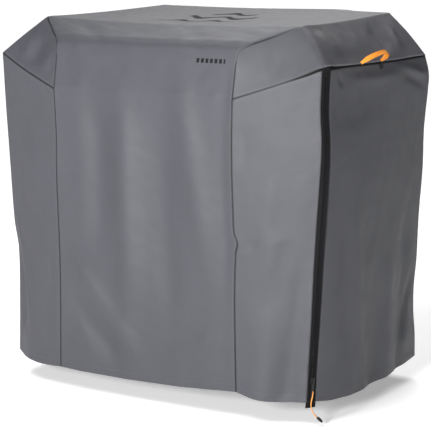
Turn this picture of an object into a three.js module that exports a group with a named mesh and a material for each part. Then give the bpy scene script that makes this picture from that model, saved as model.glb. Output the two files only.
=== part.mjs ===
// A fitted cover for a cart grill: sewn cloth panels, a zip up one front corner, two lifting handles.
// Millimetres, +Z up. The front faces -Y. The origin is on the inner face of the roof panel, which rests
// on what the cover protects, so everything else hangs below it.
import * as THREE from "three";

// ---- Driving dimensions ----
const CLOTH = 1.2;
const SEAM_GAP = 0.2;
const DROP = 1130;

const ROOF = { halfWidthFront: 478, halfWidthBack: 447, frontY: -249, backY: 371 };
const PANEL_TOP = { halfWidth: 340, y: -372, z: -73 };
const GUSSET_FOOT = { halfWidth: 332, y: -403, z: -223 };
const SHOULDER = { halfWidth: 601, frontY: -331, backY: 325, z: -124 };
const HEM = { panelHalfWidth: 335, panelY: -383, cornerHalfWidth: 563, frontY: -320, backY: 372 };
const HEM_ALLOWANCE = { height: 26, inset: 4, gap: 0.4 };
const FOLD_HEM_Y = 205;

const BINDING = { width: 12, thickness: 2.4, depth: 6, endTrim: 20 };

const ZIP = {
  top: new THREE.Vector3(596, -309, -127),
  foot: new THREE.Vector3(556, -311, -1130),
  facing: new THREE.Vector3(0.883, -0.469, 0),
  edge: 14,
  tapeWidth: 13,
  tapeThickness: 0.8,
  tapeTail: 16,
  coilWidth: 5,
  coilHeight: 2.6,
  clear: 0.4,
};
const ZIP_PATCH = { length: 16, start: 1.5, halfWidth: 11, inner: -1, outer: 0.2 };
const ZIP_STOP = { length: 6, width: 4.1, gap: 0.3 };
const SLIDER = { length: 24, width: 15, plate: 1.8, aboveHem: 58 };
const BRIDGE = { width: 4, halfLength: 5.2, leg: 1.5, lift: 0.3, clearHeight: 3, bar: 1.3 };
const PULLER = { length: 34, width: 9, thickness: 1.4, railGap: 5.6, windowReach: 7.5, bar: 0.7 };
const PULLER_SHAPE = { headShare: 0.85, flare: 4, cornerDrop: 3, cornerCut: 2 };
const PULLER_EYE = { width: 5.4, height: 4.6, endBar: 1.4 };

const CORD = { diameter: 3, sides: 8, spacing: 3.4, stepCount: 13 };
const CORD_RING = { radius: 2.9, tube: 1, forward: 0.6 };
const CORD_TIP = { length: 22, radius: 4.6, neckRadius: 3.9, gap: 0.8 };

const STRAP = { width: 18, endWidth: 4, thickness: 2, lean: 45 };
const STRAP_TAB = { along: 24, height: 22, below: 6, proud: 2, thickness: 1.2 };
const STRAP_PATCH = { along: 190, height: 40, below: 24, gap: 2 };

// ---- Finishes ----
function finish(color, roughness, metalness) {
  return new THREE.MeshStandardMaterial({ color, roughness, metalness });
}
const clothFinish = finish(0x86868d, 0.7, 0);
const liningFinish = finish(0x6c6c74, 0.65, 0);
const bindingFinish = finish(0x1d1d20, 0.85, 0);
const tapeFinish = finish(0x16161a, 0.85, 0);
const coilFinish = finish(0x0e0e11, 0.45, 0);
const metalFinish = finish(0x101013, 0.35, 0.7);
const webbingFinish = finish(0xee8a1c, 0.75, 0);
const cordFinish = finish(0xf09a30, 0.7, 0);
const tipFinish = finish(0x121214, 0.5, 0);

const cover = new THREE.Group();

function add(name, geometry, material, parent = cover) {
  const mesh = new THREE.Mesh(geometry, material);
  mesh.name = name;
  parent.add(mesh);
  return mesh;
}

// ---- Sheet solids ----
// The smallest move whose component along every one of the directions is the same given amount.
function evenMove(directions, amount) {
  const move = new THREE.Vector3();
  for (let pass = 0; pass < 200; pass += 1) {
    for (const direction of directions) {
      move.addScaledVector(direction, amount - move.dot(direction));
    }
  }
  return move;
}

function facetNormal(points) {
  const normal = new THREE.Vector3();
  points.forEach((point, i) => {
    normal.add(new THREE.Vector3().crossVectors(point, points[(i + 1) % points.length]));
  });
  return normal.normalize();
}

// A closed sheet over flat facets that share corners. Each facet lists its corners anticlockwise as seen
// from outside. The sheet lies between two depths under the facets. Its free edges are drawn in by
// `inset`, and where `mitre` gives the directions of the neighbouring facets at a corner, it is mitred.
function sheet(facets, { from = 0, to = CLOTH, inset = SEAM_GAP, mitre = null } = {}) {
  const corners = [...new Set(facets.flat())];
  const normals = facets.map(facetNormal);
  const edges = [];
  facets.forEach((facet, f) => {
    facet.forEach((start, i) => {
      const end = facet[(i + 1) % facet.length];
      const along = new THREE.Vector3().subVectors(end, start).normalize();
      edges.push({ start, end, inwards: new THREE.Vector3().crossVectors(normals[f], along) });
    });
  });
  const isShared = (edge) => edges.some((other) => other.start === edge.end && other.end === edge.start);
  const free = edges.filter((edge) => !isShared(edge));
  const upper = [];
  const lower = [];
  for (const corner of corners) {
    const own = normals.filter((normal, f) => facets[f].includes(corner));
    const around = (mitre && mitre.get(corner)) || own;
    const down = evenMove(around, -1);
    own.forEach((normal) => down.addScaledVector(normal, -1 - down.dot(normal)));
    const edgeDirections = free.filter((edge) => edge.start === corner || edge.end === corner);
    const drawnIn = evenMove(edgeDirections.map((edge) => edge.inwards), inset);
    upper.push(corner.clone().add(drawnIn).addScaledVector(down, from));
    lower.push(corner.clone().add(drawnIn).addScaledVector(down, to));
  }
  const count = corners.length;
  const index = [];
  for (const facet of facets) {
    const ids = facet.map((corner) => corners.indexOf(corner));
    for (let i = 1; i < ids.length - 1; i += 1) {
      index.push(ids[0], ids[i], ids[i + 1]);
      index.push(ids[0] + count, ids[i + 1] + count, ids[i] + count);
    }
  }
  for (const edge of free) {
    const a = corners.indexOf(edge.start);
    const b = corners.indexOf(edge.end);
    index.push(a, a + count, b + count, a, b + count, b);
  }
  const geometry = new THREE.BufferGeometry().setFromPoints([...upper, ...lower]);
  geometry.setIndex(index);
  return geometry;
}

// ---- Corners of the cover, on the outer surface ----
function at(x, y, z) {
  return new THREE.Vector3(x, y, z);
}

function cornersOf(side) {
  return {
    roofFront: at(side * ROOF.halfWidthFront, ROOF.frontY, CLOTH),
    roofBack: at(side * ROOF.halfWidthBack, ROOF.backY, CLOTH),
    panelTop: at(side * PANEL_TOP.halfWidth, PANEL_TOP.y, PANEL_TOP.z),
    gussetFoot: at(side * GUSSET_FOOT.halfWidth, GUSSET_FOOT.y, GUSSET_FOOT.z),
    shoulderFront: at(side * SHOULDER.halfWidth, SHOULDER.frontY, SHOULDER.z),
    shoulderBack: at(side * SHOULDER.halfWidth, SHOULDER.backY, SHOULDER.z),
    panelHem: at(side * HEM.panelHalfWidth, HEM.panelY, -DROP),
    cornerHem: at(side * HEM.cornerHalfWidth, HEM.frontY, -DROP),
    backHem: at(side * HEM.cornerHalfWidth, HEM.backY, -DROP),
  };
}
const right = cornersOf(1);
const left = cornersOf(-1);

// The zip's own frame: x across it towards the side panel, y outwards, z down along it.
const zipDown = new THREE.Vector3().subVectors(ZIP.foot, ZIP.top).normalize();
const zipAcross = new THREE.Vector3().crossVectors(ZIP.facing, zipDown).normalize();
const zipOut = new THREE.Vector3().crossVectors(zipDown, zipAcross);
const zipLength = ZIP.top.distanceTo(ZIP.foot);
const zipFrame = new THREE.Group();
zipFrame.position.copy(ZIP.top);
zipFrame.quaternion.setFromRotationMatrix(new THREE.Matrix4().makeBasis(zipAcross, zipOut, zipDown));
cover.add(zipFrame);

function besideZip(across, down) {
  const lift = (CLOTH - ZIP.tapeThickness) / 2;
  return ZIP.top.clone().addScaledVector(zipAcross, across).addScaledVector(zipOut, lift)
    .addScaledVector(zipDown, down);
}
const wingTop = besideZip(-ZIP.edge, 0);
const wingFoot = besideZip(-ZIP.edge, zipLength);
const flapTop = besideZip(ZIP.edge, 0);
const flapFoot = besideZip(ZIP.edge, zipLength);
const foldFoot = at(HEM.cornerHalfWidth, FOLD_HEM_Y, -DROP);

// ---- Panels ----
const mirror = (facets) => facets.map((facet) => [...facet].reverse());

const gussetFacets = (c) => [
  [c.panelTop, c.shoulderFront, c.roofFront],
  [c.panelTop, c.gussetFoot, c.shoulderFront],
];
const slopeFacets = (c) => [
  [c.roofFront, c.shoulderFront, c.shoulderBack],
  [c.roofFront, c.shoulderBack, c.roofBack],
];

const panels = {
  roof_panel: [[left.roofFront, right.roofFront, right.roofBack, left.roofBack]],
  front_shoulder: [[left.panelTop, right.panelTop, right.roofFront, left.roofFront]],
  right_gusset: gussetFacets(right),
  left_gusset: mirror(gussetFacets(left)),
  right_end_slope: slopeFacets(right),
  left_end_slope: mirror(slopeFacets(left)),
  front_panel: [
    [left.gussetFoot, right.gussetFoot, right.panelTop, left.panelTop],
    [left.panelHem, right.panelHem, right.gussetFoot, left.gussetFoot],
  ],
  right_wing: [
    [right.gussetFoot, right.panelHem, wingFoot],
    [right.gussetFoot, wingFoot, wingTop],
  ],
  left_wing: mirror([[left.gussetFoot, left.panelHem, left.cornerHem, left.shoulderFront]]),
  left_side: mirror([
    [left.shoulderFront, left.cornerHem, left.backHem],
    [left.shoulderFront, left.backHem, left.shoulderBack],
  ]),
  right_side_rear: [
    [flapTop, foldFoot, right.backHem],
    [flapTop, right.backHem, right.shoulderBack],
  ],
  side_flap: [[flapTop, flapFoot, foldFoot]],
  back_panel: [
    [right.roofBack, right.backHem, left.backHem, left.roofBack],
    [right.roofBack, right.shoulderBack, right.backHem],
    [left.roofBack, left.backHem, left.shoulderBack],
  ],
};

// Neighbouring panels are mitred against each other where they share a corner.
const neighbours = new Map();
for (const facet of Object.values(panels).flat()) {
  const normal = facetNormal(facet);
  for (const corner of facet) {
    neighbours.set(corner, [...(neighbours.get(corner) || []), normal]);
  }
}
for (const [name, facets] of Object.entries(panels)) {
  add(name, sheet(facets, { mitre: neighbours }), clothFinish);
}

// ---- Turned-up hems behind the lower edges ----
function hem(name, lowStart, lowEnd, highEnd, highStart) {
  const share = HEM_ALLOWANCE.height / DROP;
  const facet = [
    lowStart, lowEnd, lowEnd.clone().lerp(highEnd, share), lowStart.clone().lerp(highStart, share),
  ];
  const from = CLOTH + HEM_ALLOWANCE.gap;
  const depth = { from, to: from + CLOTH, inset: HEM_ALLOWANCE.inset };
  add(name, sheet([facet], depth), liningFinish);
}
hem("front_hem", left.panelHem, right.panelHem, right.gussetFoot, left.gussetFoot);
hem("right_wing_hem", right.panelHem, wingFoot, wingTop, right.gussetFoot);
hem("left_wing_hem", left.cornerHem, left.panelHem, left.gussetFoot, left.shoulderFront);
hem("left_side_hem", left.backHem, left.cornerHem, left.shoulderFront, left.shoulderBack);
hem("back_hem", right.backHem, left.backHem, left.roofBack, right.roofBack);
hem("right_side_rear_hem", foldFoot, right.backHem, right.shoulderBack, flapTop);
hem("side_flap_hem", flapFoot, foldFoot, flapTop, flapTop);

// ---- Binding tapes over the seam allowances ----
function binding(name, start, end, inwards) {
  const along = new THREE.Vector3().subVectors(end, start).normalize();
  const depth = inwards.clone().addScaledVector(along, -inwards.dot(along)).normalize();
  const flat = new THREE.Vector3().crossVectors(along, depth);
  const length = start.distanceTo(end) - 2 * BINDING.endTrim;
  const mesh = add(name, new THREE.BoxGeometry(length, BINDING.width, BINDING.thickness), bindingFinish);
  mesh.quaternion.setFromRotationMatrix(new THREE.Matrix4().makeBasis(along, depth, flat));
  mesh.position.copy(start).lerp(end, 0.5).addScaledVector(depth, BINDING.depth + BINDING.width / 2);
}
binding("roof_front_binding", left.roofFront, right.roofFront, at(0, 0.6, -1));
binding("roof_back_binding", left.roofBack, right.roofBack, at(0, -1, -1));
binding("front_shoulder_binding", left.panelTop, right.panelTop, at(0, 1, -0.7));
const sides = [
  ["right", 1, right, wingTop],
  ["left", -1, left, left.shoulderFront],
];
for (const [word, side, c, wingCorner] of sides) {
  binding(`${word}_roof_binding`, c.roofFront, c.roofBack, at(-0.5 * side, 0, -1));
  binding(`${word}_gusset_top_binding`, c.panelTop, c.roofFront, at(0, 0.7, -0.7));
  binding(`${word}_gusset_foot_binding`, c.gussetFoot, wingCorner, at(-0.15 * side, 1, -0.1));
  binding(`${word}_slope_binding`, c.shoulderFront, c.shoulderBack, at(-1 * side, 0, -0.45));
  binding(`${word}_front_seam_binding`, c.gussetFoot, c.panelHem, at(-0.15 * side, 1, 0));
  binding(`${word}_back_seam_binding`, c.shoulderBack, c.backHem, at(-1 * side, -1, 0));
}
binding("left_corner_binding", left.shoulderFront, left.cornerHem, at(0.8, 0.6, 0));

// ---- Zip up the front right corner ----
function boxBetween(x0, x1, y0, y1, z0, z1) {
  const box = new THREE.BoxGeometry(x1 - x0, y1 - y0, z1 - z0);
  return box.translate((x0 + x1) / 2, (y0 + y1) / 2, (z0 + z1) / 2);
}
const closedTop = ZIP_PATCH.length + 1;
const tapeFoot = zipLength + ZIP.tapeTail;
const coilBase = ZIP.clear;
const coilTop = coilBase + ZIP.coilHeight;
const sliderFoot = zipLength - SLIDER.aboveHem;
const sliderTop = sliderFoot - SLIDER.length;
const coilHead = closedTop + ZIP_STOP.length + 1;
const coilFoot = zipLength + 2;

for (const [word, side] of [["front", -1], ["side", 1]]) {
  const span = (near, far) => (side > 0 ? [near, far] : [-far, -near]);
  const tape = span(ZIP.clear / 2, ZIP.clear / 2 + ZIP.tapeWidth);
  const coil = span(ZIP.clear / 2, ZIP.clear / 2 + ZIP.coilWidth);
  add(`zip_tape_${word}`, boxBetween(...tape, -ZIP.tapeThickness, 0, closedTop, tapeFoot),
    tapeFinish, zipFrame);
  add(`zip_coil_${word}`, boxBetween(...coil, coilBase, coilTop, coilHead, coilFoot),
    coilFinish, zipFrame);
}
add("zip_end_patch", boxBetween(-ZIP_PATCH.halfWidth, ZIP_PATCH.halfWidth, ZIP_PATCH.inner,
  ZIP_PATCH.outer, ZIP_PATCH.start, ZIP_PATCH.length), tapeFinish, zipFrame);
add("zip_top_stop", boxBetween(-ZIP_STOP.gap - ZIP_STOP.width, -ZIP_STOP.gap, coilBase, coilTop,
  closedTop, closedTop + ZIP_STOP.length), metalFinish, zipFrame);

// The slider is a plate over the coils, a plate behind the tapes, and a bridge that holds the puller.
const frontPlate = coilTop + ZIP.clear;
const backPlate = -ZIP.tapeThickness - ZIP.clear;
const bridgeCentre = (sliderTop + sliderFoot) / 2;
const bridgeFoot = frontPlate + SLIDER.plate;
add("zip_slider_back", boxBetween(-SLIDER.width / 2, SLIDER.width / 2, backPlate - SLIDER.plate,
  backPlate, sliderTop, sliderFoot), metalFinish, zipFrame);
add("zip_slider_front", boxBetween(-SLIDER.width / 2, SLIDER.width / 2, frontPlate, bridgeFoot,
  sliderTop, sliderFoot), metalFinish, zipFrame);
function extrudeAcross(shape, width) {
  const solid = new THREE.ExtrudeGeometry(shape, { depth: width, bevelEnabled: false, curveSegments: 6 });
  solid.translate(0, 0, -width / 2);
  // Shape x runs down the zip, shape y runs outwards, and the extrusion runs across the zip.
  const turned = new THREE.Matrix4().makeBasis(at(0, 0, 1), at(0, 1, 0), at(-1, 0, 0));
  return solid.applyMatrix4(turned);
}
function outline(points) {
  return new THREE.Shape(points.map(([x, y]) => new THREE.Vector2(x, y)));
}
const archTop = bridgeFoot + BRIDGE.clearHeight;
const outer = BRIDGE.halfLength;
const inner = BRIDGE.halfLength - BRIDGE.leg;
const archBase = bridgeFoot + BRIDGE.lift;
const arch = outline([
  [-outer, archBase], [-inner, archBase], [-inner, archTop], [inner, archTop], [inner, archBase],
  [outer, archBase], [outer, archTop + BRIDGE.bar], [-outer, archTop + BRIDGE.bar],
]);
const archMesh = add("zip_slider_bridge", extrudeAcross(arch, BRIDGE.width), metalFinish, zipFrame);
archMesh.position.z = bridgeCentre;

// ---- Puller: a flat plate with a window round the bridge and an eye for the cord ----
const pullerAxis = at(0, bridgeFoot + BRIDGE.clearHeight / 2, bridgeCentre);
const pullerFrame = new THREE.Group();
pullerFrame.position.copy(pullerAxis);
zipFrame.add(pullerFrame);
const half = PULLER.width / 2;
const head = half * PULLER_SHAPE.headShare;
const flareFoot = PULLER.windowReach + PULLER_SHAPE.flare;
const cornerHead = PULLER.length - PULLER_SHAPE.cornerDrop;
const footHalf = half - PULLER_SHAPE.cornerCut;
const plate = outline([
  [-head, -PULLER.bar], [head, -PULLER.bar], [head, PULLER.windowReach], [half, flareFoot],
  [half, cornerHead], [footHalf, PULLER.length], [-footHalf, PULLER.length],
  [-half, cornerHead], [-half, flareFoot], [-head, PULLER.windowReach],
]);
const rail = PULLER.railGap / 2;
const eyeFoot = PULLER.length - PULLER_EYE.endBar;
const eyeHead = eyeFoot - PULLER_EYE.height;
const eye = PULLER_EYE.width / 2;
function hole(x, y0, y1) {
  return new THREE.Path([[-x, y0], [-x, y1], [x, y1], [x, y0]].map(([a, b]) => new THREE.Vector2(a, b)));
}
plate.holes.push(hole(rail, PULLER.bar, PULLER.windowReach - 1), hole(eye, eyeHead, eyeFoot));
const pullerPlate = new THREE.ExtrudeGeometry(plate, { depth: PULLER.thickness, bevelEnabled: false });
pullerPlate.translate(0, 0, -PULLER.thickness / 2);
// Shape x runs across, shape y runs down the zip, and the thickness runs through.
pullerPlate.applyMatrix4(new THREE.Matrix4().makeBasis(at(1, 0, 0), at(0, 0, 1), at(0, -1, 0)));
add("zip_puller", pullerPlate, metalFinish, pullerFrame);

// ---- Pull cord: a ring through the eye, two strands hanging from it, and a moulded tip ----
const eyeBar = at(0, CORD_RING.forward, PULLER.length - PULLER_EYE.endBar / 2);
const ring = new THREE.TorusGeometry(CORD_RING.radius, CORD_RING.tube, 8, 16);
ring.rotateY(Math.PI / 2);
add("pull_cord_ring", ring, cordFinish, pullerFrame).position.copy(eyeBar);

cover.updateMatrixWorld(true);
const ringCentre = eyeBar.clone().applyMatrix4(pullerFrame.matrixWorld);
const cordStart = ringCentre.clone().add(at(0, 0, -CORD_RING.radius - CORD_RING.tube - 0.4));
const swing = at(0.838, 0.545, 0);
// How far the cord has drifted along `swing`, and how far down it is, at each point chosen along it.
const cordRoute = [[0, 0], [-1, 9], [-3.5, 20], [-5, 31], [-4, 42], [-0.5, 53], [5.5, 63], [13.5, 71]];
function strand(offset) {
  const across = at(-0.545, 0.838, 0).multiplyScalar(offset);
  const points = cordRoute.map(([drift, down]) =>
    cordStart.clone().addScaledVector(swing, drift).add(at(0, 0, -down)).add(across));
  return new THREE.CatmullRomCurve3(points);
}
function cordSolid(curve) {
  const section = new THREE.Shape();
  for (let i = 0; i < CORD.sides; i += 1) {
    const angle = (2 * Math.PI * i) / CORD.sides;
    const x = (CORD.diameter / 2) * Math.cos(angle);
    const y = (CORD.diameter / 2) * Math.sin(angle);
    if (i === 0) section.moveTo(x, y);
    else section.lineTo(x, y);
  }
  section.closePath();
  const sweep = { steps: CORD.stepCount, extrudePath: curve, bevelEnabled: false };
  return new THREE.ExtrudeGeometry(section, sweep);
}
add("pull_cord_strand_a", cordSolid(strand(-CORD.spacing / 2)), cordFinish);
add("pull_cord_strand_b", cordSolid(strand(CORD.spacing / 2)), cordFinish);

const middle = strand(0);
const tipAlong = middle.getTangent(1);
const tipProfile = [
  [0, 0], [CORD_TIP.neckRadius, 0], [CORD_TIP.radius, 5], [CORD_TIP.radius * 0.9, 14],
  [CORD_TIP.radius * 0.6, CORD_TIP.length], [0, CORD_TIP.length],
].map(([r, h]) => new THREE.Vector2(r, h));
const tip = add("pull_cord_tip", new THREE.LatheGeometry(tipProfile, 12), tipFinish);
tip.position.copy(middle.getPoint(1)).addScaledVector(tipAlong, CORD_TIP.gap);
tip.quaternion.setFromUnitVectors(at(0, 1, 0), tipAlong);

// ---- Lifting handles: webbing loops sewn into the shoulder seams ----
// Each point is a place along the seam, then a height over it.
const strapRoute = [
  [-107, 3], [-99, 14], [-80, 29], [-50, 40], [-15, 45], [14, 38], [27, 22], [24, 9], [20, 3],
];
function strap(side) {
  const tilt = THREE.MathUtils.degToRad(STRAP.lean);
  const rise = at(side * Math.sin(tilt), 0, Math.cos(tilt));
  const wide = at(side * Math.cos(tilt), 0, -Math.sin(tilt));
  const seam = at(side * SHOULDER.halfWidth, 0, SHOULDER.z);
  const curve = new THREE.CatmullRomCurve3(strapRoute.map(([y, r]) => at(0, y, r)));
  const stations = 16;
  const points = [];
  const index = [];
  for (let i = 0; i <= stations; i += 1) {
    const p = curve.getPoint(i / stations);
    const t = curve.getTangent(i / stations);
    const widening = THREE.MathUtils.smoothstep(p.z, 3, 18);
    const halfWidth = (STRAP.endWidth + (STRAP.width - STRAP.endWidth) * widening) / 2;
    for (const [across, through] of [[-1, -1], [1, -1], [1, 1], [-1, 1]]) {
      const y = p.y - (t.z * through * STRAP.thickness) / 2;
      const r = p.z + (t.y * through * STRAP.thickness) / 2;
      points.push(seam.clone().addScaledVector(wide, across * halfWidth)
        .addScaledVector(rise, r).add(at(0, y, 0)));
    }
  }
  const quad = (a, b, c, d) => (side < 0 ? index.push(a, b, c, a, c, d) : index.push(a, c, b, a, d, c));
  for (let i = 0; i < stations; i += 1) {
    for (let k = 0; k < 4; k += 1) {
      const next = (k + 1) % 4;
      quad(4 * i + k, 4 * i + next, 4 * i + 4 + next, 4 * i + 4 + k);
    }
  }
  quad(3, 2, 1, 0);
  const last = 4 * stations;
  quad(last, last + 1, last + 2, last + 3);
  const geometry = new THREE.BufferGeometry().setFromPoints(points);
  geometry.setIndex(index);
  return geometry;
}

// A small patch on a side panel, from its middle's place along the seam and the distance below it.
function sidePatch(side, alongSeam, below, length, height) {
  const lean = (SHOULDER.halfWidth - HEM.cornerHalfWidth) / (DROP + SHOULDER.z);
  const place = (y, down) => at(side * (SHOULDER.halfWidth - lean * down), y, SHOULDER.z - down);
  const y0 = alongSeam - length / 2;
  const facet = [
    place(y0, below), place(y0, below + height),
    place(y0 + length, below + height), place(y0 + length, below),
  ];
  return side > 0 ? facet : facet.reverse();
}
const strapMiddle = (strapRoute[0][0] + strapRoute.at(-1)[0]) / 2;
const rearEnd = strapRoute.at(-1)[0];
for (const [word, side] of [["right", 1], ["left", -1]]) {
  add(`${word}_handle`, strap(side), webbingFinish);
  const tab = sidePatch(side, rearEnd, STRAP_TAB.below, STRAP_TAB.along, STRAP_TAB.height);
  const tabDepth = { from: -STRAP_TAB.proud - STRAP_TAB.thickness, to: -STRAP_TAB.proud, inset: 0 };
  add(`${word}_handle_tab`, sheet([tab], tabDepth), bindingFinish);
  const patch = sidePatch(side, strapMiddle, STRAP_PATCH.below, STRAP_PATCH.along, STRAP_PATCH.height);
  const patchFrom = CLOTH + STRAP_PATCH.gap;
  add(`${word}_handle_patch`, sheet([patch], { from: patchFrom, to: patchFrom + CLOTH, inset: 0 }),
    liningFinish);
}

export default cover;
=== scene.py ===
# %% [markdown]
# # A fitted grill cover
# The cover is eleven cloth panels sewn into a box with sloping shoulders. A zip runs up the front right
# corner, and a webbing handle is sewn into each shoulder seam. The frame holds where every panel, joint
# and small part is, so each piece here is shaped in that same space, in metres.
# %% Load the frame
import math

import bmesh
import bpy
import numpy as np
from mathutils import Matrix, Vector


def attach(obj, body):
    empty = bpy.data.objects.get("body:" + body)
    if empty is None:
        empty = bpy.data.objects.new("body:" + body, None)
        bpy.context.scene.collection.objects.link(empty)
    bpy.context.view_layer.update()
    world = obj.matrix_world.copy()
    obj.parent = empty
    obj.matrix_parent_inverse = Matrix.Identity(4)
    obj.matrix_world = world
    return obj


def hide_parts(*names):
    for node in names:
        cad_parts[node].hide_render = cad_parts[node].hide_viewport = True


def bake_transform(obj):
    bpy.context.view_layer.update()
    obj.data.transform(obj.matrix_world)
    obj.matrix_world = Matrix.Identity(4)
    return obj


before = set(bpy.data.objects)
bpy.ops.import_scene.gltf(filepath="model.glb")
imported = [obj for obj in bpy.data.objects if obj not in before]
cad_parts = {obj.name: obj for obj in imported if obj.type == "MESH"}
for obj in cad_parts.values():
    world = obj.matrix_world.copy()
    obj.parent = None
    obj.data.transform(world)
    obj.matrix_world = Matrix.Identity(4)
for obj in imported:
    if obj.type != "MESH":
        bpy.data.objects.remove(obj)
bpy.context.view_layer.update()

# %% [markdown]
# ## Camera
# A long lens from a few metres away keeps the cover's upright edges upright. The camera stands to the
# right of the front and a little above the roof, and looks along the opposite of `BACK`.
# %% Camera
DROP = 1.130                                  # from the roof to the hem, in metres
AWAY, ASIDE, LOWER = 4.701, 0.0093, 0.0717    # the camera's place from the cover's middle, in drops
AZIMUTH, ELEVATION = math.radians(33.14), math.radians(9.43)
RIGHT = Vector((math.cos(AZIMUTH), math.sin(AZIMUTH), 0))
BACK = Vector((math.sin(AZIMUTH) * math.cos(ELEVATION), -math.cos(AZIMUTH) * math.cos(ELEVATION),
               math.sin(ELEVATION)))
UP = BACK.cross(RIGHT)


def added(name, data):
    """A new object in the scene, at the origin."""
    made = bpy.data.objects.new(name, data)
    bpy.context.collection.objects.link(made)
    return made


camera_data = bpy.data.cameras.new("camera")
camera_data.sensor_width = 36
camera_data.lens = 135.55
camera_data.clip_end = 60
camera = added("camera", camera_data)
place = Vector((0, 0, -DROP / 2)) + DROP * (AWAY * BACK + ASIDE * RIGHT - LOWER * UP)
turn = Matrix((RIGHT, UP, BACK)).transposed().to_4x4()
camera.matrix_world = Matrix.Translation(place) @ turn
bpy.context.scene.camera = camera
print("camera at", [round(c, 3) for c in place])

# %% [markdown]
# ## A short way to write shader maths
# A material's pattern is a sum: threads, plus slow stains, less the shade in a seam. `Wire` wraps one
# socket and turns `+`, `*` and the rest into Math nodes, and `Finish.node` makes any other node. The
# formulas then read as formulas.
# %% Shader helper
class Wire:
    """One output of a node, with arithmetic."""

    def __init__(self, finish, socket):
        self.finish, self.socket = finish, socket

    def do(self, operation, other=None, swap=False):
        pair = [self] if other is None else [other, self] if swap else [self, other]
        return self.finish.node("ShaderNodeMath", {"operation": operation}, dict(enumerate(pair)))

    def __add__(self, other): return self.do("ADD", other)
    def __sub__(self, other): return self.do("SUBTRACT", other)
    def __mul__(self, other): return self.do("MULTIPLY", other)
    def __rsub__(self, other): return self.do("SUBTRACT", other, swap=True)
    __radd__, __rmul__ = __add__, __mul__


class Finish:
    """A material being mixed round one Principled shader."""

    def __init__(self, name, colour, roughness, **fixed):
        self.material = bpy.data.materials.new(name)
        self.material.use_nodes = True
        self.tree = self.material.node_tree
        self.shader = self.tree.nodes["Principled BSDF"]
        self.set(**{"Base Color": (*colour, 1), "Roughness": roughness}, **fixed)

    def set(self, **values):
        for socket, value in values.items():
            self.feed(self.shader.inputs[socket.replace("_", " ")], value)

    def feed(self, socket, value):
        if isinstance(value, Wire):
            self.tree.links.new(value.socket, socket)
        else:
            socket.default_value = value

    def node(self, kind, settings=None, inputs=None, out=0):
        made = self.tree.nodes.new(kind)
        for key, value in (settings or {}).items():
            setattr(made, key, value)
        for key, value in (inputs or {}).items():
            self.feed(made.inputs[key], value)
        return Wire(self, made.outputs[out])

    def place(self):
        return self.node("ShaderNodeTexCoord", out="Object")

    def parts(self, vector, *axes):
        """Some parts of a vector, as wires: 0 is x, 1 is y and 2 is z."""
        return [self.node("ShaderNodeSeparateXYZ", inputs={0: vector}, out=k) for k in axes]

    def uv(self):
        """The cloth's own two directions in metres, as two wires."""
        return self.parts(self.node("ShaderNodeUVMap", {"uv_map": "cloth"}), 0, 1)

    def note(self, name):
        return self.node("ShaderNodeAttribute", {"attribute_name": name}, out="Fac")

    def noise(self, vector, scale, detail=3.0):
        return self.node("ShaderNodeTexNoise", inputs={
            "Vector": vector, "Scale": scale, "Detail": detail}, out="Fac")

    def pair(self, x, y):
        return self.node("ShaderNodeCombineXYZ", inputs={0: x, 1: y})

    def step(self, value, low, high):
        """0 below low and 1 above high, smooth between. Give high < low to turn it round."""
        if low > high:
            return 1 - self.step(value, high, low)
        return self.node("ShaderNodeMapRange", {"interpolation_type": "SMOOTHSTEP"}, {
            "Value": value, "From Min": low, "From Max": high})

    def mix(self, factor, first, second):
        full = [c if isinstance(c, Wire) else (*c, 1) for c in (first, second)]
        return self.node("ShaderNodeMix", {"data_type": "RGBA"}, {0: factor, 6: full[0], 7: full[1]}, 2)

    def bump(self, height, distance, strength):
        self.set(Normal=self.node("ShaderNodeBump", inputs={
            "Height": height, "Distance": distance, "Strength": strength}))


def scaled(colour, share):
    return tuple(c * share for c in colour)


print("shader helper ready")

# %% [markdown]
# ## Cloth finish
# The cloth is a woven polyester with a coating on its back. Up close it shows threads that cross over
# and under each other, with thicker and thinner ones, and painted shade where a thread dips under. From
# far off it shows a dull gloss, slow changes in tone and a dark line of painted shade where two panels
# meet. The weave follows the cloth's own directions, so it reads a UV map in metres. A note on each
# vertex tells how many millimetres off the nearest seam is.
# %% Weave
THREAD = 0.0013          # from one thread to the next, in metres


def weave(finish, pitch):
    """Height of a plain weave, 0 to 1: each thread is high where it lies over and low where it is under."""
    u, v = finish.uv()
    across, along = u * (math.pi / pitch), v * (math.pi / pitch)
    over = across.do("SINE") * along.do("SINE")
    side = (across * 2).do("COSINE") * 0.25 - (along * 2).do("COSINE") * 0.25
    return 0.5 + over * side * 2 + over.do("ABSOLUTE") * 0.3


print("one thread every", THREAD, "m")

# %% Cloth finish
CLOTH_GREY, INK = (0.0515, 0.0523, 0.0615), (0.003, 0.003, 0.004)
CLOTH_ROUGHNESS = 0.58
# Painted shade in each seam: the cloth's colour darkens towards black over the last few millimetres.
SEAM_PAINTED_SHADE = (4.6, 1.4)                    # none from here, full from there, in millimetres from a seam
# A band from 3 to 16 mm off a seam is drawn a little paler in the cloth's colour.
PALE_SEAM_BAND = ((3.0, 6.0), (16.0, 7.0))   # the paler ridge beside a seam: its near side and its far side


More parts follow.
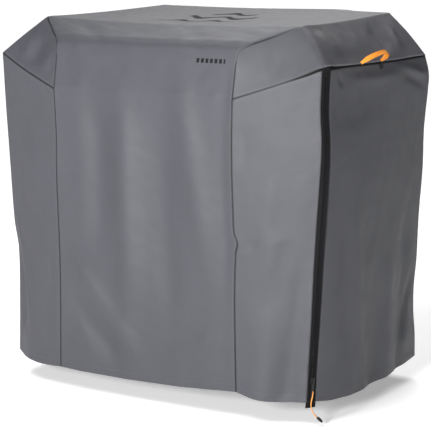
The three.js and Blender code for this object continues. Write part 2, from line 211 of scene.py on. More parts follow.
def cover_cloth(name, marks=None):
    finish = Finish(name, CLOTH_GREY, CLOTH_ROUGHNESS, Specular_IOR_Level=0.42)
    u, v = finish.uv()
    threads = weave(finish, THREAD)
    thick = (finish.noise(finish.pair(u * 3, v * 180), 9.0, 1.0)
             + finish.noise(finish.pair(u * 180, v * 3), 9.0, 1.0))
    clouds = finish.noise(finish.place(), 5.0, 4.0)
    stains = finish.noise(finish.place(), 26.0, 3.0)
    seam = finish.note("seam_mm")
    # The cloth is a little paler in a band beside each seam.
    pale_band = finish.step(seam, *PALE_SEAM_BAND[0]) * finish.step(seam, *PALE_SEAM_BAND[1])
    # Thread tops are lighter and the hollows where a thread dips under are darker: painted shade in the
    # weave. The thicker and thinner threads, clouds and stains are the cloth's own tone.
    tone = (threads - 0.5) * 0.12 + (thick - 1.0) * 0.14 + (clouds - 0.5) * 0.16 + (stains - 0.5) * 0.07
    tone = tone + pale_band * 0.05 + 0.5
    body = finish.mix(tone, scaled(CLOTH_GREY, 0.55), scaled(CLOTH_GREY, 1.45))
    # Painted shade: near a seam the colour is mixed towards near black.
    body = finish.mix(finish.step(seam, *SEAM_PAINTED_SHADE) * 0.92, body, scaled(CLOTH_GREY, 0.08))
    rough = CLOTH_ROUGHNESS + (stains - 0.5) * 0.12 - threads * 0.04
    if marks:
        ink = marks(finish)
        body = finish.mix(ink * 0.97, body, INK)
        rough = rough + ink * 0.42
    finish.set(Base_Color=body, Roughness=rough)
    finish.bump(threads * 0.7 + thick * 0.25, 0.00022, 0.6)
    return finish.material


cloth = cover_cloth("grey_cloth")
print("cloth colour", CLOTH_GREY)

# %% [markdown]
# ## Printed marks
# The roof and the front panel each carry a mark in flat black ink. Here they are generic: wavy lines of
# heat, and a row of dashes. A print has no thickness, so it is a mask on the cloth's colour and gloss.
# %% Marks
WAVE_MIDDLE, WAVE_HALVES = 0.01, (0.155, 0.13, 0.08)    # across the roof, in metres
DASHES_AT, DASH_PITCH = (0.246, -0.115), 0.016          # across and up the front panel, in metres


def heat_waves(finish):
    """Three wavy lines of rising heat, each shorter than the last, drawn in ink across the roof."""
    x, y = finish.parts(finish.place(), 0, 1)
    ink = None
    for row, half in enumerate(WAVE_HALVES):
        line = y - (0.105 * row - 0.075) - ((x - WAVE_MIDDLE) * 48.0 + row * 1.3).do("SINE") * 0.024
        drawn = finish.step(line.do("ABSOLUTE"), 0.019, 0.014) * finish.step(
            (x - WAVE_MIDDLE).do("ABSOLUTE"), half, half - 0.005)
        ink = drawn if ink is None else ink.do("MAXIMUM", drawn)
    return ink


def tally_dashes(finish):
    """A short row of plain dashes, printed small near the top right of the front panel."""
    x, z = finish.parts(finish.place(), 0, 2)
    within = finish.step((x - DASHES_AT[0]).do("ABSOLUTE"), 0.052, 0.050)
    dash = finish.step(((x * (1 / DASH_PITCH)).do("FRACT") - 0.5).do("ABSOLUTE"), 0.34, 0.30)
    high = finish.step((z - DASHES_AT[1]).do("ABSOLUTE"), 0.007, 0.006)
    return within * dash * high


roof_cloth = cover_cloth("grey_cloth_with_waves", heat_waves)
front_cloth = cover_cloth("grey_cloth_with_dashes", tally_dashes)
print("marks on", roof_cloth.name, "and", front_cloth.name)

# %% [markdown]
# ## Coating, tapes, webbing, metal and cord
# Each small finish gets the detail that its making leaves: a matt skin with fine creases on the
# coated back, ribs across a woven tape, a braid on the cord, and rubbed paint on the slider.
# %% Coating and tapes
TURN = 2 * math.pi


def coating():
    finish = Finish("coated_back", (0.16, 0.16, 0.18), 0.5, Specular_IOR_Level=0.4)
    creases = finish.noise(finish.place(), 60.0, 5.0)
    clouds = finish.noise(finish.place(), 7.0, 3.0)
    # Darker in the hollows of the fine creases: painted shade. The clouds are the coating's own uneven tone.
    skin = finish.mix(creases * 0.5 + clouds * 0.5, (0.12, 0.12, 0.135), (0.21, 0.21, 0.235))
    finish.set(Base_Color=skin, Roughness=0.42 + creases * 0.2)
    finish.bump(creases, 0.0004, 0.4)
    return finish.material


def ribbed(name, colour, pitch, roughness, light=1.5, dark=0.55):
    """A woven tape: ribs run across it, with painted shade between them, a faint chevron over them and some
    fuzz.
    """
    finish = Finish(name, colour, roughness, Specular_IOR_Level=0.2)
    u, v = finish.uv()
    ribs = (v * (TURN / pitch)).do("SINE") * 0.5 + 0.5
    chevrons = ((u * (TURN / (3 * pitch))).do("SINE") * 1.6 + v * (TURN / pitch)).do("SINE")
    fuzz = finish.noise(finish.pair(u * 900, v * 900), 1.0, 2.0)
    # Darker between the ribs: painted shade in their hollows. The chevron and the fuzz are the tape's own
    # pattern.
    tone = ribs * 0.5 + chevrons * 0.12 + fuzz * 0.4 + 0.05
    finish.set(Base_Color=finish.mix(tone, scaled(colour, dark), scaled(colour, light)),
               Roughness=roughness + (fuzz - 0.5) * 0.2)
    finish.bump(ribs + chevrons * 0.3, 0.00025, 0.7)
    return finish.material


lining = coating()
binding_weave = ribbed("binding_weave", (0.018, 0.018, 0.020), 0.0022, 0.8)
zip_weave = ribbed("zip_weave", (0.005, 0.005, 0.006), 0.0012, 0.75)
webbing = ribbed("orange_webbing", (0.86, 0.30, 0.035), 0.0026, 0.6, light=1.25, dark=0.5)
print("coating and three tapes ready")


# %% Metal and nylon
def black_metal():
    finish = Finish("black_slider_metal", (0.02, 0.02, 0.022), 0.35, Metallic=0.6)
    worn = finish.step(finish.noise(finish.place(), 900.0, 4.0), 0.6, 0.72)
    grain = finish.noise(finish.place(), 2500.0, 2.0)
    finish.set(Base_Color=finish.mix(worn * 0.6, (0.018, 0.018, 0.02), (0.16, 0.155, 0.15)),
               Roughness=0.3 + grain * 0.2, Metallic=0.5 + worn * 0.4)
    finish.bump(grain, 0.00006, 0.4)
    return finish.material


def black_nylon(name, roughness, gloss, grain_scale, detail, smoothest, relief=None):
    """Black nylon or rubber: a fine grain changes its tone and its roughness a little."""
    finish = Finish(name, (0.006, 0.006, 0.007), roughness, Specular_IOR_Level=gloss)
    grain = finish.noise(finish.place(), grain_scale, detail)
    finish.set(Base_Color=finish.mix(grain, (0.004, 0.004, 0.005), (0.012, 0.012, 0.014)),
               Roughness=smoothest + grain * 0.25)
    if relief:
        finish.bump(grain, relief, 0.5)
    return finish.material


metal = black_metal()
coil = black_nylon("nylon_coil", 0.3, 0.2, 1200.0, 2.0, 0.25)
tip_rubber = black_nylon("moulded_tip", 0.5, 0.25, 1800.0, 3.0, 0.4, relief=0.00008)
print("metal and nylon ready")

# %% Cord and thread
BRAID_STRANDS, BRAID_LAY = 4, 0.0045      # strands each way round, and metres for one strand to pass


def braid(name, colour):
    """A round braid: strands cross on two spirals, with painted shade darkening the gaps between them."""
    finish = Finish(name, colour, 0.6, Sheen_Weight=0.3)
    u, v = finish.uv()
    one = (u * (TURN * BRAID_STRANDS) + v * (TURN / BRAID_LAY)).do("SINE")
    two = (u * (TURN * BRAID_STRANDS) - v * (TURN / BRAID_LAY)).do("SINE")
    strands = one.do("ABSOLUTE").do("MINIMUM", two.do("ABSOLUTE"))
    fuzz = finish.noise(finish.place(), 1500.0, 2.0)
    # Darker in the gaps between strands: painted shade. The fuzz is the cord's own uneven tone.
    tone = strands * 0.7 + fuzz * 0.4
    finish.set(Base_Color=finish.mix(tone, scaled(colour, 0.35), scaled(colour, 1.25)))
    finish.bump(strands, 0.0004, 0.8)
    return finish.material


def sewing_thread(name, colour):
    finish = Finish(name, colour, 0.6, Sheen_Weight=0.2)
    twist = finish.noise(finish.place(), 2200.0, 2.0)
    finish.set(Base_Color=finish.mix(twist, scaled(colour, 0.5), scaled(colour, 1.4)))
    finish.bump(twist, 0.0001, 0.5)
    return finish.material


cord_braid = braid("orange_braid", (0.90, 0.36, 0.05))
grey_thread = sewing_thread("grey_thread", (0.10, 0.10, 0.115))
black_thread = sewing_thread("black_thread", (0.015, 0.015, 0.016))
print("braid and two threads ready")

# %% [markdown]
# ## Points, smooth lines and meshes
# Sewn shapes are drawn as lines first: the seams. `smooth_line` runs a curve through a few chosen
# points and spaces its samples evenly, and `make_piece` turns points and faces into an object at the
# origin, with its place in its mesh.
# %% Smooth lines
MM = 0.001


def mm(*points):
    return np.array(points, float) * MM


def smooth_line(points, count=240):
    """A Catmull-Rom curve through the points, with evenly spaced samples."""
    p = np.asarray(points, float)
    p = np.vstack([2 * p[0] - p[1], p, 2 * p[-1] - p[-2]])
    dense = []
    for a, b, c, d in zip(p, p[1:], p[2:], p[3:]):
        t = np.linspace(0, 1, 40, endpoint=False)[:, None]
        dense.append(0.5 * (2 * b + (c - a) * t + (2 * a - 5 * b + 4 * c - d) * t**2
                            + (3 * b - a - 3 * c + d) * t**3))
    return resample(np.vstack(dense + [p[-2:-1]]), np.linspace(0, 1, count))


def lengths(line):
    return np.concatenate([[0], np.cumsum(np.linalg.norm(np.diff(line, axis=0), axis=1))])


def resample(line, shares):
    run = lengths(line)
    return np.stack([np.interp(np.asarray(shares) * run[-1], run, line[:, k]) for k in range(3)], 1)


def unit(v):
    return v / np.maximum(np.linalg.norm(v, axis=-1, keepdims=True), 1e-12)


def smooth_share(x, low, high):
    t = np.clip((np.asarray(x, float) - low) / (high - low), 0, 1)
    return t * t * (3 - 2 * t)


print("line helpers ready")


# %% Meshes
def belongs(piece, body, slot, *nodes):
    """Attaches a piece to the body it moves with and hides the nodes it stands for. The slot is not used.
    The body is None for a piece that is attached to no body."""
    if body:
        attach(piece, body)
    if nodes:
        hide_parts(*nodes)
    return piece


def make_piece(name, points, faces, materials, uv, slots=None, notes=None):
    """An object from points and faces. uv is a pair for each point, and slots a number for each face."""
    mesh = bpy.data.meshes.new(name)
    mesh.from_pydata([tuple(p) for p in np.asarray(points, float)], [], [tuple(map(int, f)) for f in faces])
    for material in materials:
        mesh.materials.append(material)
    corner = np.empty(len(mesh.loops), np.int32)
    mesh.loops.foreach_get("vertex_index", corner)
    layer = mesh.uv_layers.new(name="cloth")
    layer.data.foreach_set("uv", np.asarray(uv, np.float32)[corner].ravel())
    if slots is not None:
        mesh.polygons.foreach_set("material_index", np.asarray(slots, np.int32))
    for note, values in (notes or {}).items():
        mesh.attributes.new(note, "FLOAT", "POINT").data.foreach_set("value", np.asarray(values, np.float32))
    mesh.polygons.foreach_set("use_smooth", [True] * len(mesh.polygons))
    mesh.update()
    return added(name, mesh)


def close_up(mesh, distance=1e-6):
    """Merges points that lie on each other, and turns every face outwards."""
    work = bmesh.new()
    work.from_mesh(mesh)
    bmesh.ops.remove_doubles(work, verts=work.verts, dist=distance)
    bmesh.ops.recalc_face_normals(work, faces=work.faces)
    work.to_mesh(mesh)
    work.free()


def bar(name, rings, across, along, material):
    """A closed bar from rings of points, one ring after another along it. across and along are its UV."""
    rows, cols = rings.shape[:2]
    uv = np.stack(np.meshgrid(across, along), -1).reshape(-1, 2)
    faces = [(r * cols + c, r * cols + (c + 1) % cols, (r + 1) * cols + (c + 1) % cols,
              (r + 1) * cols + c) for r in range(rows - 1) for c in range(cols)]
    faces += [tuple(range(cols))[::-1], tuple((rows - 1) * cols + c for c in range(cols))]
    piece = make_piece(name, rings.reshape(-1, 3), faces, [material], uv)
    close_up(piece.data)
    return piece


def tube(name, node, line, radii, sides, material, body, slot, squash=1.0):
    """A closed round tube along a line, with a UV that goes once round and runs along it in metres."""
    line, radii = np.asarray(line, float), np.broadcast_to(radii, (len(line),))
    tangent = unit(np.gradient(line, axis=0))
    side = unit(np.cross(tangent[0], [0.3, 0.9, 0.2]))
    ring, sides_at = np.linspace(0, 2 * np.pi, sides + 1), []
    for t in tangent:
        side = unit(side - t * (side @ t))
        sides_at.append(side)
    sides_at = np.array(sides_at)
    other = np.cross(tangent, sides_at)
    shell = line[:, None] + radii[:, None, None] * (
        np.cos(ring)[None, :, None] * sides_at[:, None]
        + squash * np.sin(ring)[None, :, None] * other[:, None])
    run = lengths(line)
    uv = np.stack(np.meshgrid(ring / (2 * np.pi), run), -1).reshape(-1, 2)
    rows, cols = len(line), sides + 1
    faces = [(r * cols + c, r * cols + c + 1, (r + 1) * cols + c + 1, (r + 1) * cols + c)
             for r in range(rows - 1) for c in range(sides)]
    points = np.vstack([shell.reshape(-1, 3), line[:1], line[-1:]])
    uv = np.vstack([uv, [[0, 0]], [[0, run[-1]]]])
    first, last = rows * cols, rows * cols + 1
    faces += [(first, c + 1, c) for c in range(sides)]
    faces += [(last, (rows - 1) * cols + c, (rows - 1) * cols + c + 1) for c in range(sides)]
    piece = make_piece(name, points, faces, [material], uv)
    close_up(piece.data)
    return belongs(piece, body, slot, node)


print("mesh helpers ready")

# %% [markdown]
# ## Where the zip, the slider and the cord are
# The zip has its own directions: down along it, across it towards the side panel, and outwards. The
# same three numbers place the slider, the puller and the cord that hangs from it.
# %% Zip directions
ZIP_TOP, ZIP_FOOT = mm((596, -309, -127), (556, -311, -1130))
ZIP_LENGTH = float(np.linalg.norm(ZIP_FOOT - ZIP_TOP))
DOWN = unit(ZIP_FOOT - ZIP_TOP)
ZIP_FACING = (0.883, -0.469, 0)
ACROSS = unit(np.cross(ZIP_FACING, DOWN))
OUT = np.cross(DOWN, ACROSS)


def on_zip(across, out, down):
    """A point in the zip's own directions, all three in millimetres."""
    return ZIP_TOP + MM * (across * ACROSS + out * OUT + down * DOWN)


print("zip length", round(ZIP_LENGTH, 4))

# %% [markdown]
# ## The pull cord
# A limp 3 mm braided cord is threaded through the puller's eye and doubled. Both strands hang straight
# down and then drift to the right, into one moulded tip. All of it shows: each strand is 77 mm long.
# A mesh tube is used because the braid has to wind round it, which needs a UV.
# %% Pull cord
CORD_START = mm((563.903, -314.354, -1097.879))[0]
CORD_RING = mm((563.903, -314.354, -1093.579))[0]
DRIFT, BESIDE = np.array((0.838, 0.545, 0)), np.array((-0.545, 0.838, 0))
STRAND_RADIUS, RING_RADIUS, RING_THICK = 1.5 * MM, 2.9 * MM, 1.0 * MM
STRAND_APART, TIP_GAP = 2.1, 0.8          # each strand from the middle, and the tip from their ends
cord_route = [(0, 0), (-1, 9), (-3.5, 20), (-5, 31), (-4, 42), (-0.5, 53), (5.5, 63), (13.5, 71)]


def strand_line(beside):
    return smooth_line([CORD_START + MM * (drift * DRIFT + (0, 0, -down) + beside * BESIDE)
                        for drift, down in cord_route], 36)


for letter, beside in (("a", -STRAND_APART), ("b", STRAND_APART)):
    line = strand_line(beside)
    strand = tube(f"cord_strand_{letter}", f"pull_cord_strand_{letter}", line, STRAND_RADIUS, 12, cord_braid,
                  "cord", "pull_cord")

turn_round = np.linspace(0, 2 * np.pi, 33)[:, None]
ring_line = CORD_RING + RING_RADIUS * (np.cos(turn_round) * OUT + np.sin(turn_round) * DOWN)
cord_loop = tube("cord_loop", "pull_cord_ring", ring_line, RING_THICK, 10, cord_braid, "cord", "pull_cord")

middle = strand_line(0)
tip_way = unit(middle[-1] - middle[-2])
tip_profile = [(0, 3.3), (0.6, 4.1), (2.0, 4.2), (2.6, 3.8), (3.4, 3.8), (4.0, 4.5), (9, 4.6), (14, 4.2),
               (19, 3.3), (21.4, 2.5), (22, 1.6)]
tip_line = np.array([middle[-1] + tip_way * (TIP_GAP + along) * MM for along, _ in tip_profile])
tip_radii = np.array([radius for _, radius in tip_profile]) * MM
tip = tube("cord_tip", "pull_cord_tip", tip_line, tip_radii, 20, tip_rubber, "cord", "cord_tip")

# %% [markdown]
# ## The seams
# Each seam is a line that two panels share, so the panels meet along it whatever folds they have. The
# roof edges dip a little where nothing holds them up. The front seams wander and kink, because a sewn
# edge puckers under its own weight, and the hem hangs a little lower between the corners.
# %% Seams
right_dart_foot, left_dart_foot = (338, -375, -84), (-338, -375, -84)
seams = {
    "roof_front": [(-478, -249, -7), (-120, -252, -17), (230, -252, -18), (478, -249, -13)],
    "roof_back": [(-447, 371, 13), (-100, 373, 9), (240, 373, 12), (330, 372, 8), (447, 371, 5)],
    "roof_right": [(478, -249, -13), (465, 60, -7), (447, 371, 5)],
    "roof_left": [(-478, -249, -7), (-465, 60, 0), (-447, 371, 13)],
    "shoulder_fold": [left_dart_foot, (-300, -373, -76), (0, -374, -77), (300, -373, -76), right_dart_foot],
    "right_dart": [(478, -249, -13), (400, -318, -49), (357, -356, -68), right_dart_foot],
    "left_dart": [(-478, -249, -7), (-400, -318, -47), (-357, -356, -68), left_dart_foot],
    "right_gusset_front": [right_dart_foot, (334, -385, -122), (332, -403, -223)],
    "left_gusset_front": [left_dart_foot, (-334, -385, -122), (-332, -403, -223)],
    "right_ridge": [(478, -249, -13), (543, -289, -67), (601, -331, -124)],
    "left_ridge": [(-478, -249, -7), (-543, -289, -65), (-601, -331, -124)],
    "right_back_ridge": [(447, 371, 5), (526, 352, -57), (602, 325, -124)],
    "left_back_ridge": [(-447, 371, 13), (-526, 352, -55), (-602, 325, -124)],
    "right_gusset_foot": [(332, -403, -223), (483, -363, -171), (601, -331, -124)],
    "left_gusset_foot": [(-332, -403, -223), (-483, -365, -171), (-601, -331, -124)],
    "right_wing_top": [(332, -403, -223), (483, -363, -171), (545, -342, -150), (589, -322, -133)],
    "right_shoulder": [(601, -331, -124), (603, -105, -127), (603, 113, -127), (602, 325, -124)],
    "left_shoulder": [(-601, -331, -124), (-603, -105, -128), (-603, 113, -128), (-602, 325, -124)],
    "right_side_top": [(602.4, -297, -128), (601, -105, -130), (601, 113, -130), (602, 325, -126)],
    "left_side_top": [(-601, -331, -124), (-599, -105, -131), (-599, 113, -131), (-602, 325, -126)],
    "right_front": [(332, -403, -223), (329, -401, -330), (328, -398, -443), (332, -395, -590),
                    (335, -394, -625), (345, -392, -654), (338, -391, -690), (334, -390, -801),
                    (334, -387, -953), (336, -384, -1110)],
    "left_front": [(-332, -403, -223), (-329, -399, -370), (-332, -396, -510), (-329, -390, -790),
                   (-337, -384, -1128)],
    "left_corner": [(-601, -331, -124), (-593, -329, -300), (-584, -325, -482), (-574, -321, -669),
                    (-562, -315, -776), (-561, -317, -950), (-563, -320, -1114)],
    "right_back": [(602, 325, -126), (611, 335, -181), (608, 337, -240), (597, 338, -355),
                   (591, 345, -492), (579, 348, -649), (572, 353, -789), (563, 355, -883),
                   (561, 359, -973), (564, 366, -1043), (563, 372, -1127)],
    "left_back": [(-602, 325, -126), (-607, 333, -205), (-592, 342, -480), (-575, 352, -780),
                  (-563, 372, -1128)],
    "front_hem": [(-337, -384, -1128), (-200, -389, -1129), (-40, -391, -1128), (120, -388, -1124),
                  (250, -382, -1116), (336, -384, -1110)],
    "left_wing_hem": [(-563, -320, -1114), (-505, -349, -1127), (-420, -377, -1133), (-337, -384, -1128)],
    "right_side_hem": [(562.7, -298.7, -1120), (583, -230, -1131), (592, -120, -1137), (590, 20, -1138),
                       (584, 160, -1134), (573, 290, -1130), (563, 372, -1127)],
    "left_side_hem": [(-563, 372, -1128), (-574, 250, -1131), (-584, 40, -1134), (-580, -180, -1129),
                      (-563, -320, -1114)],
    "back_hem": [(563, 372, -1127), (300, 381, -1131), (0, 384, -1133), (-300, 381, -1131),
                 (-563, 372, -1128)],
}
seams = {name: smooth_line(mm(*points)) for name, points in seams.items()}

print(len(seams), "seams between panels")

# %% [markdown]
# ## The line of the zip
# The zip hangs straight over its top 110 mm, where the slider stops when the corner is open. Below that
# it swings out a little and turns to face the front, and it comes back to its own line at the hem. The
# edges of the two panels beside it are taken from the zip, so that they follow it.
# %% Zip line
zip_down = np.array([0, 65, 110, 150, 215, 300, 420, 570, 750, 900, 1010]) * MM
zip_swing = np.array([0, 0, 0.2, 3, 10, 11.5, 9, 5.5, 3.5, 0.5, 0]) * MM
zip_face = np.radians([62, 62, 62, 62, 59, 50, 40, 44, 56, 62, 62])
ZIP_EDGE, EDGE_OUT = 14, 0.6              # the panels' edges across and out from the zip, in millimetres
EASED = 40                                # how many samples of a seam move when its end does


def ease(x, xs, ys):
    """A smooth curve through (xs, ys)."""
    line = smooth_line(np.stack([xs, ys, np.zeros_like(xs)], 1), 600)
    return np.interp(x, line[:, 0], line[:, 1])


def zip_at(down, across=0.0, out=0.0):
    """Points on the zip as it really hangs: down in metres, across and out in millimetres."""
    down = np.asarray(down, float)
    swing, face = ease(down, zip_down, zip_swing), ease(down, zip_down, zip_face)
    along = np.stack([np.cos(face), np.sin(face), 0 * face], -1)
    outwards = np.stack([np.sin(face), -np.cos(face), 0 * face], -1)
    middle = ZIP_TOP + down[..., None] * DOWN + swing[..., None] * np.array((1, 0, 0))
    return middle + MM * (across * along + out * outwards)


edge_down = np.linspace(0, ZIP_LENGTH - 0.010, 240) + 0.004
wing_edge = seams["zip_wing"] = zip_at(edge_down, -ZIP_EDGE, EDGE_OUT)
side_edge = seams["zip_side"] = zip_at(edge_down, ZIP_EDGE, EDGE_OUT)
wing_top = seams["right_wing_top"]
wing_top[-EASED:] += np.linspace(0, 1, EASED)[:, None] * (wing_edge[0] - wing_top[-1])
for name, corner in (("right_side_top", side_edge[0]), ("right_side_hem", side_edge[-1])):
    seams[name][:EASED] += np.linspace(1, 0, EASED)[:, None] * (corner - seams[name][0])
seams["right_wing_hem"] = smooth_line(np.vstack([
    mm((336, -384, -1110), (400, -381, -1123), (475, -354, -1128)), wing_edge[-1:]]))
print(len(seams), "seams,", round(sum(lengths(s)[-1] for s in seams.values()), 1), "m of line")

# %% [markdown]
# ## Laying cloth between four seams
# A panel could be drawn by hand, but its edges would then drift from its neighbours'. A Coons patch
# fills the space between four edge lines exactly. Folds are then raised along chosen lines, measured in
# metres on the cloth, and every fold fades out at a sewn edge. Rows lie closer together near the edges,
# so that the cloth can turn down sharply into the seam.
# %% Cloth surface
CLOTH_THICKNESS = 0.9 * MM
EDGE_ROWS = np.array([0, 1.2, 2.8, 5, 8.5, 13]) * MM


def spaced(length, step):
    """Shares from 0 to 1, closer together at both ends."""
    first, last = EDGE_ROWS[-1], length - EDGE_ROWS[-1]
    inner = np.linspace(first, last, max(3, int((length - 2 * EDGE_ROWS[-1]) / step)))
    return np.concatenate([EDGE_ROWS[:-1], inner, length - EDGE_ROWS[:-1][::-1]]) / length


def coons(top, bottom, left, right, u, v):
    t, b, l, r = resample(top, u), resample(bottom, u), resample(left, v), resample(right, v)
    u, v = u[None, :, None], v[:, None, None]
    ruled = (1 - v) * t[None] + v * b[None] + (1 - u) * l[:, None] + u * r[:, None]
    corners = (1 - u) * ((1 - v) * t[0] + v * b[0]) + u * ((1 - v) * t[-1] + v * b[-1])
    return ruled - corners


def grid_normals(grid):
    """Outward normals of a grid whose columns run to the right and whose rows run down."""
    return unit(np.cross(np.gradient(grid, axis=0), np.gradient(grid, axis=1)))


def distance_to(x, y, line):
    """How far each (x, y) is from a line of corners, and how far along it the nearest place is."""
    line = np.asarray(line, float)
    best, where = np.full(x.shape, 1e9), np.zeros(x.shape)
    total, run = np.sum(np.hypot(*np.diff(line, axis=0).T)), 0.0
    for a, b in zip(line, line[1:]):
        way = b - a
        t = np.clip(((x - a[0]) * way[0] + (y - a[1]) * way[1]) / (way @ way), 0, 1)
        far = np.hypot(x - a[0] - t * way[0], y - a[1] - t * way[1])
        near = far < best
        best = np.where(near, far, best)
        where = np.where(near, (run + t * np.hypot(*way)) / total, where)
        run += np.hypot(*way)
    return best, where


def ripples(x, y, size, seed, stretch=1.0):
    """Smooth unevenness about `size` metres across, between about -1 and 1. One seed, one pattern."""
    rng = np.random.default_rng(seed)
    total = np.zeros_like(x)
    for _ in range(14):
        angle, phase = rng.uniform(0, 2 * np.pi, 2)
        wave = 2 * np.pi / (size * rng.uniform(0.7, 1.9))
        total += np.sin(wave * (np.cos(angle) * x + np.sin(angle) * y / stretch) + phase)
    return total / 4.0


def fold_height(x, y, width, height, folds):
    """Folds are (height mm, half width mm, [(share across, share down), ...]), ridges above 0. An end
    that stops inside the panel fades out."""
    total = np.zeros_like(x)
    for rise, spread, corners in folds:
        line = np.array(corners, float) * (width, height)
        line = smooth_line(np.c_[line, np.zeros(len(line))], 24)[:, :2]
        far, where = distance_to(x, y, line)
        ends = 1.0
        if corners[0][1] > 0.01:
            ends = ends * smooth_share(where, 0, 0.35)
        if corners[-1][1] < 0.99:
            ends = ends * smooth_share(where, 1, 0.65)
        total += rise * MM * np.exp(-(far / (spread * MM)) ** 2) * ends
    return total


print("rows from a sewn edge", EDGE_ROWS, "m")

# %% [markdown]
# ## Sewing the panels
# One function sews every panel. The cut size is measured on the smooth patch before any fold is
# raised.
# %% Laying and measuring
def laid(top, bottom, left, right, step=9 * MM):
    """A grid of points between four seams, by name. A minus turns a seam round."""
    top, bottom, left, right = (seams[name.lstrip("-")][::-1 if name.startswith("-") else 1]
                                for name in (top, bottom, left, right))
    wide = (lengths(top)[-1] + lengths(bottom)[-1]) / 2
    high = (lengths(left)[-1] + lengths(right)[-1]) / 2
    return coons(top, bottom, left, right, spaced(wide, step), spaced(high, step))


def cloth_run(grid):
    """The distance from the left edge and from the top edge, along the cloth."""
    x = np.stack([lengths(row) for row in grid])
    y = np.stack([lengths(column) for column in grid.transpose(1, 0, 2)], 1)
    return x, y


print("laying and measuring ready")

# %% Sewing
ALL_PANELS = {}
FOLD_GAIN = 1.5                           # how much fuller every fold hangs than it is drawn
CALM_WIDTH = 0.05                         # folds fade out over this width beside a sewn edge
SWELL_REACH = 20 * MM                     # where the bulge beside a seam is highest
# A groove deeper than SEWN_DEPTH also gets the painted seam shade in the cloth's colour.
GROOVE_WIDTH, SEWN_DEPTH = 3.2 * MM, 0.9  # a groove this many millimetres deep shows as a dark seam
NO_SEAM, PUCKER_AT, PUCKER_WIDTH = 1.0, 0.012, 0.011


def sew(name, nodes, grid, folds=(), flutes=(), seed=1, groove=(1.2, 1.2, 1.2, 1.2), crease=1.0,
        material=cloth, body="cover", swell=(0, 0, 0, 0)):
    """groove is how deep the cloth is pulled in at the top, right, bottom and left; None is a free hem.
    swell is how far it bulges just inside the same edges, which rounds the ridge between two panels.
    flutes are (height mm, share across, half width, share down where it starts), down to the hem."""
    x, y = cloth_run(grid)
    width, height = x[:, -1].mean(), y[-1].mean()
    to_edges = [y, x[:, -1:] - x, y[-1:] - y, x]
    calm = np.ones_like(x)
    for edge, far in zip(groove, to_edges):
        if edge is not None:
            calm = calm * smooth_share(far, 0.0, CALM_WIDTH)
    normals = grid_normals(grid)
    folds = [(FOLD_GAIN * rise, spread, line) for rise, spread, line in folds]
    move = fold_height(x, y, width, height, folds) * calm
    for rise, middle, spread, start in flutes:
        flute = rise * MM * np.exp(-((x / width - middle) / spread) ** 2)
        move += flute * smooth_share(y / height, start, 1) * calm
    creases = 0.9 * ripples(x, y, 0.11, seed, 1.7) + 0.35 * ripples(x, y, 0.045, seed + 50)
    move += crease * MM * calm * creases
    nearest = np.full_like(x, NO_SEAM)
    for edge, far in zip(groove, to_edges):
        if edge is not None:
            along = x if far is to_edges[0] or far is to_edges[2] else y
            pucker = 0.5 * crease * ripples(along, far * 0.4, 0.03, seed + 9)
            pucker = pucker * np.exp(-((far - PUCKER_AT) / PUCKER_WIDTH) ** 2)
            move += MM * (pucker - edge * np.exp(-(far / GROOVE_WIDTH) ** 2))
            if edge > SEWN_DEPTH:
                nearest = np.minimum(nearest, far)
    for bulge, far in zip(swell, to_edges):
        move += bulge * MM * (far / SWELL_REACH) * np.exp(1 - far / SWELL_REACH)
    grid = grid + normals * move[..., None]
    piece = thicken(name, nodes, grid, x - width / 2, y, material, body, nearest * 1000)
    ALL_PANELS[name] = {"grid": grid, "x": x, "y": y}
    return piece


def thicken(name, nodes, grid, u, v, outer_material, body, seam_mm=None, thickness=CLOTH_THICKNESS,
            inner_material=lining, slot="cover_cloth"):
    """A closed sheet from a grid: the outer side, the inner side and a rim."""
    rows, cols = grid.shape[:2]
    normals = grid_normals(grid)
    count = rows * cols
    points = np.vstack([grid.reshape(-1, 3), (grid - normals * thickness).reshape(-1, 3)])
    uv = np.tile(np.stack([u, v], -1).reshape(-1, 2), (2, 1))
    quad = np.arange(count).reshape(rows, cols)
    a, b, c, d = quad[:-1, :-1], quad[:-1, 1:], quad[1:, 1:], quad[1:, :-1]
    outer = np.stack([a, d, c, b], -1).reshape(-1, 4)
    inner = np.stack([a, b, c, d], -1).reshape(-1, 4) + count
    loop = np.concatenate([quad[0, :-1], quad[:-1, -1], quad[-1, :0:-1], quad[:0:-1, 0]])
    after = np.roll(loop, -1)
    rim = np.stack([loop, after, after + count, loop + count], -1)
    slots = np.concatenate([np.zeros(len(outer)), np.ones(len(inner)), np.zeros(len(rim))])
    far = np.full(count, 60.0) if seam_mm is None else seam_mm.reshape(-1)
    piece = make_piece(name, points, np.vstack([outer, inner, rim]), [outer_material, inner_material],
                       uv, slots, {"seam_mm": np.tile(far, 2)})
    return belongs(piece, body, slot, *nodes)


print("sewing function ready")

# %% [markdown]
# ## Roof, shoulders and gussets
# The roof panel lies on the grill's lid, so it is nearly flat, with a few shallow dips. The sloping
# shoulders hang between the roof and the wider body. The front shoulder and the front panel are cut as
# one cloth, so the line between them is a soft bend and not a seam.
# %% Upper panels
sew("roof_cloth", ["roof_panel"], laid("roof_back", "roof_front", "-roof_left", "-roof_right"),
    folds=[(-3, 60, [(0.2, 0.6), (0.5, 0.7), (0.8, 0.55)]), (2, 50, [(0.3, 0.3), (0.7, 0.25)])],
    seed=3, groove=(0.4, 0.4, 0.4, 0.4), crease=0.8, material=roof_cloth)
sew("right_slope_cloth", ["right_end_slope"],
    laid("roof_right", "right_shoulder", "right_ridge", "right_back_ridge"),
    folds=[(3, 26, [(0.08, 0.1), (0.22, 0.85)]), (-3, 30, [(0.6, 0.2), (0.7, 0.9)]),
           (2.5, 22, [(0.86, 0.2), (0.8, 0.9)])],
    seed=5, groove=(0.4, 0.5, -1.5, 0.1), crease=0.9, swell=(0, 0, 0, 3.6))
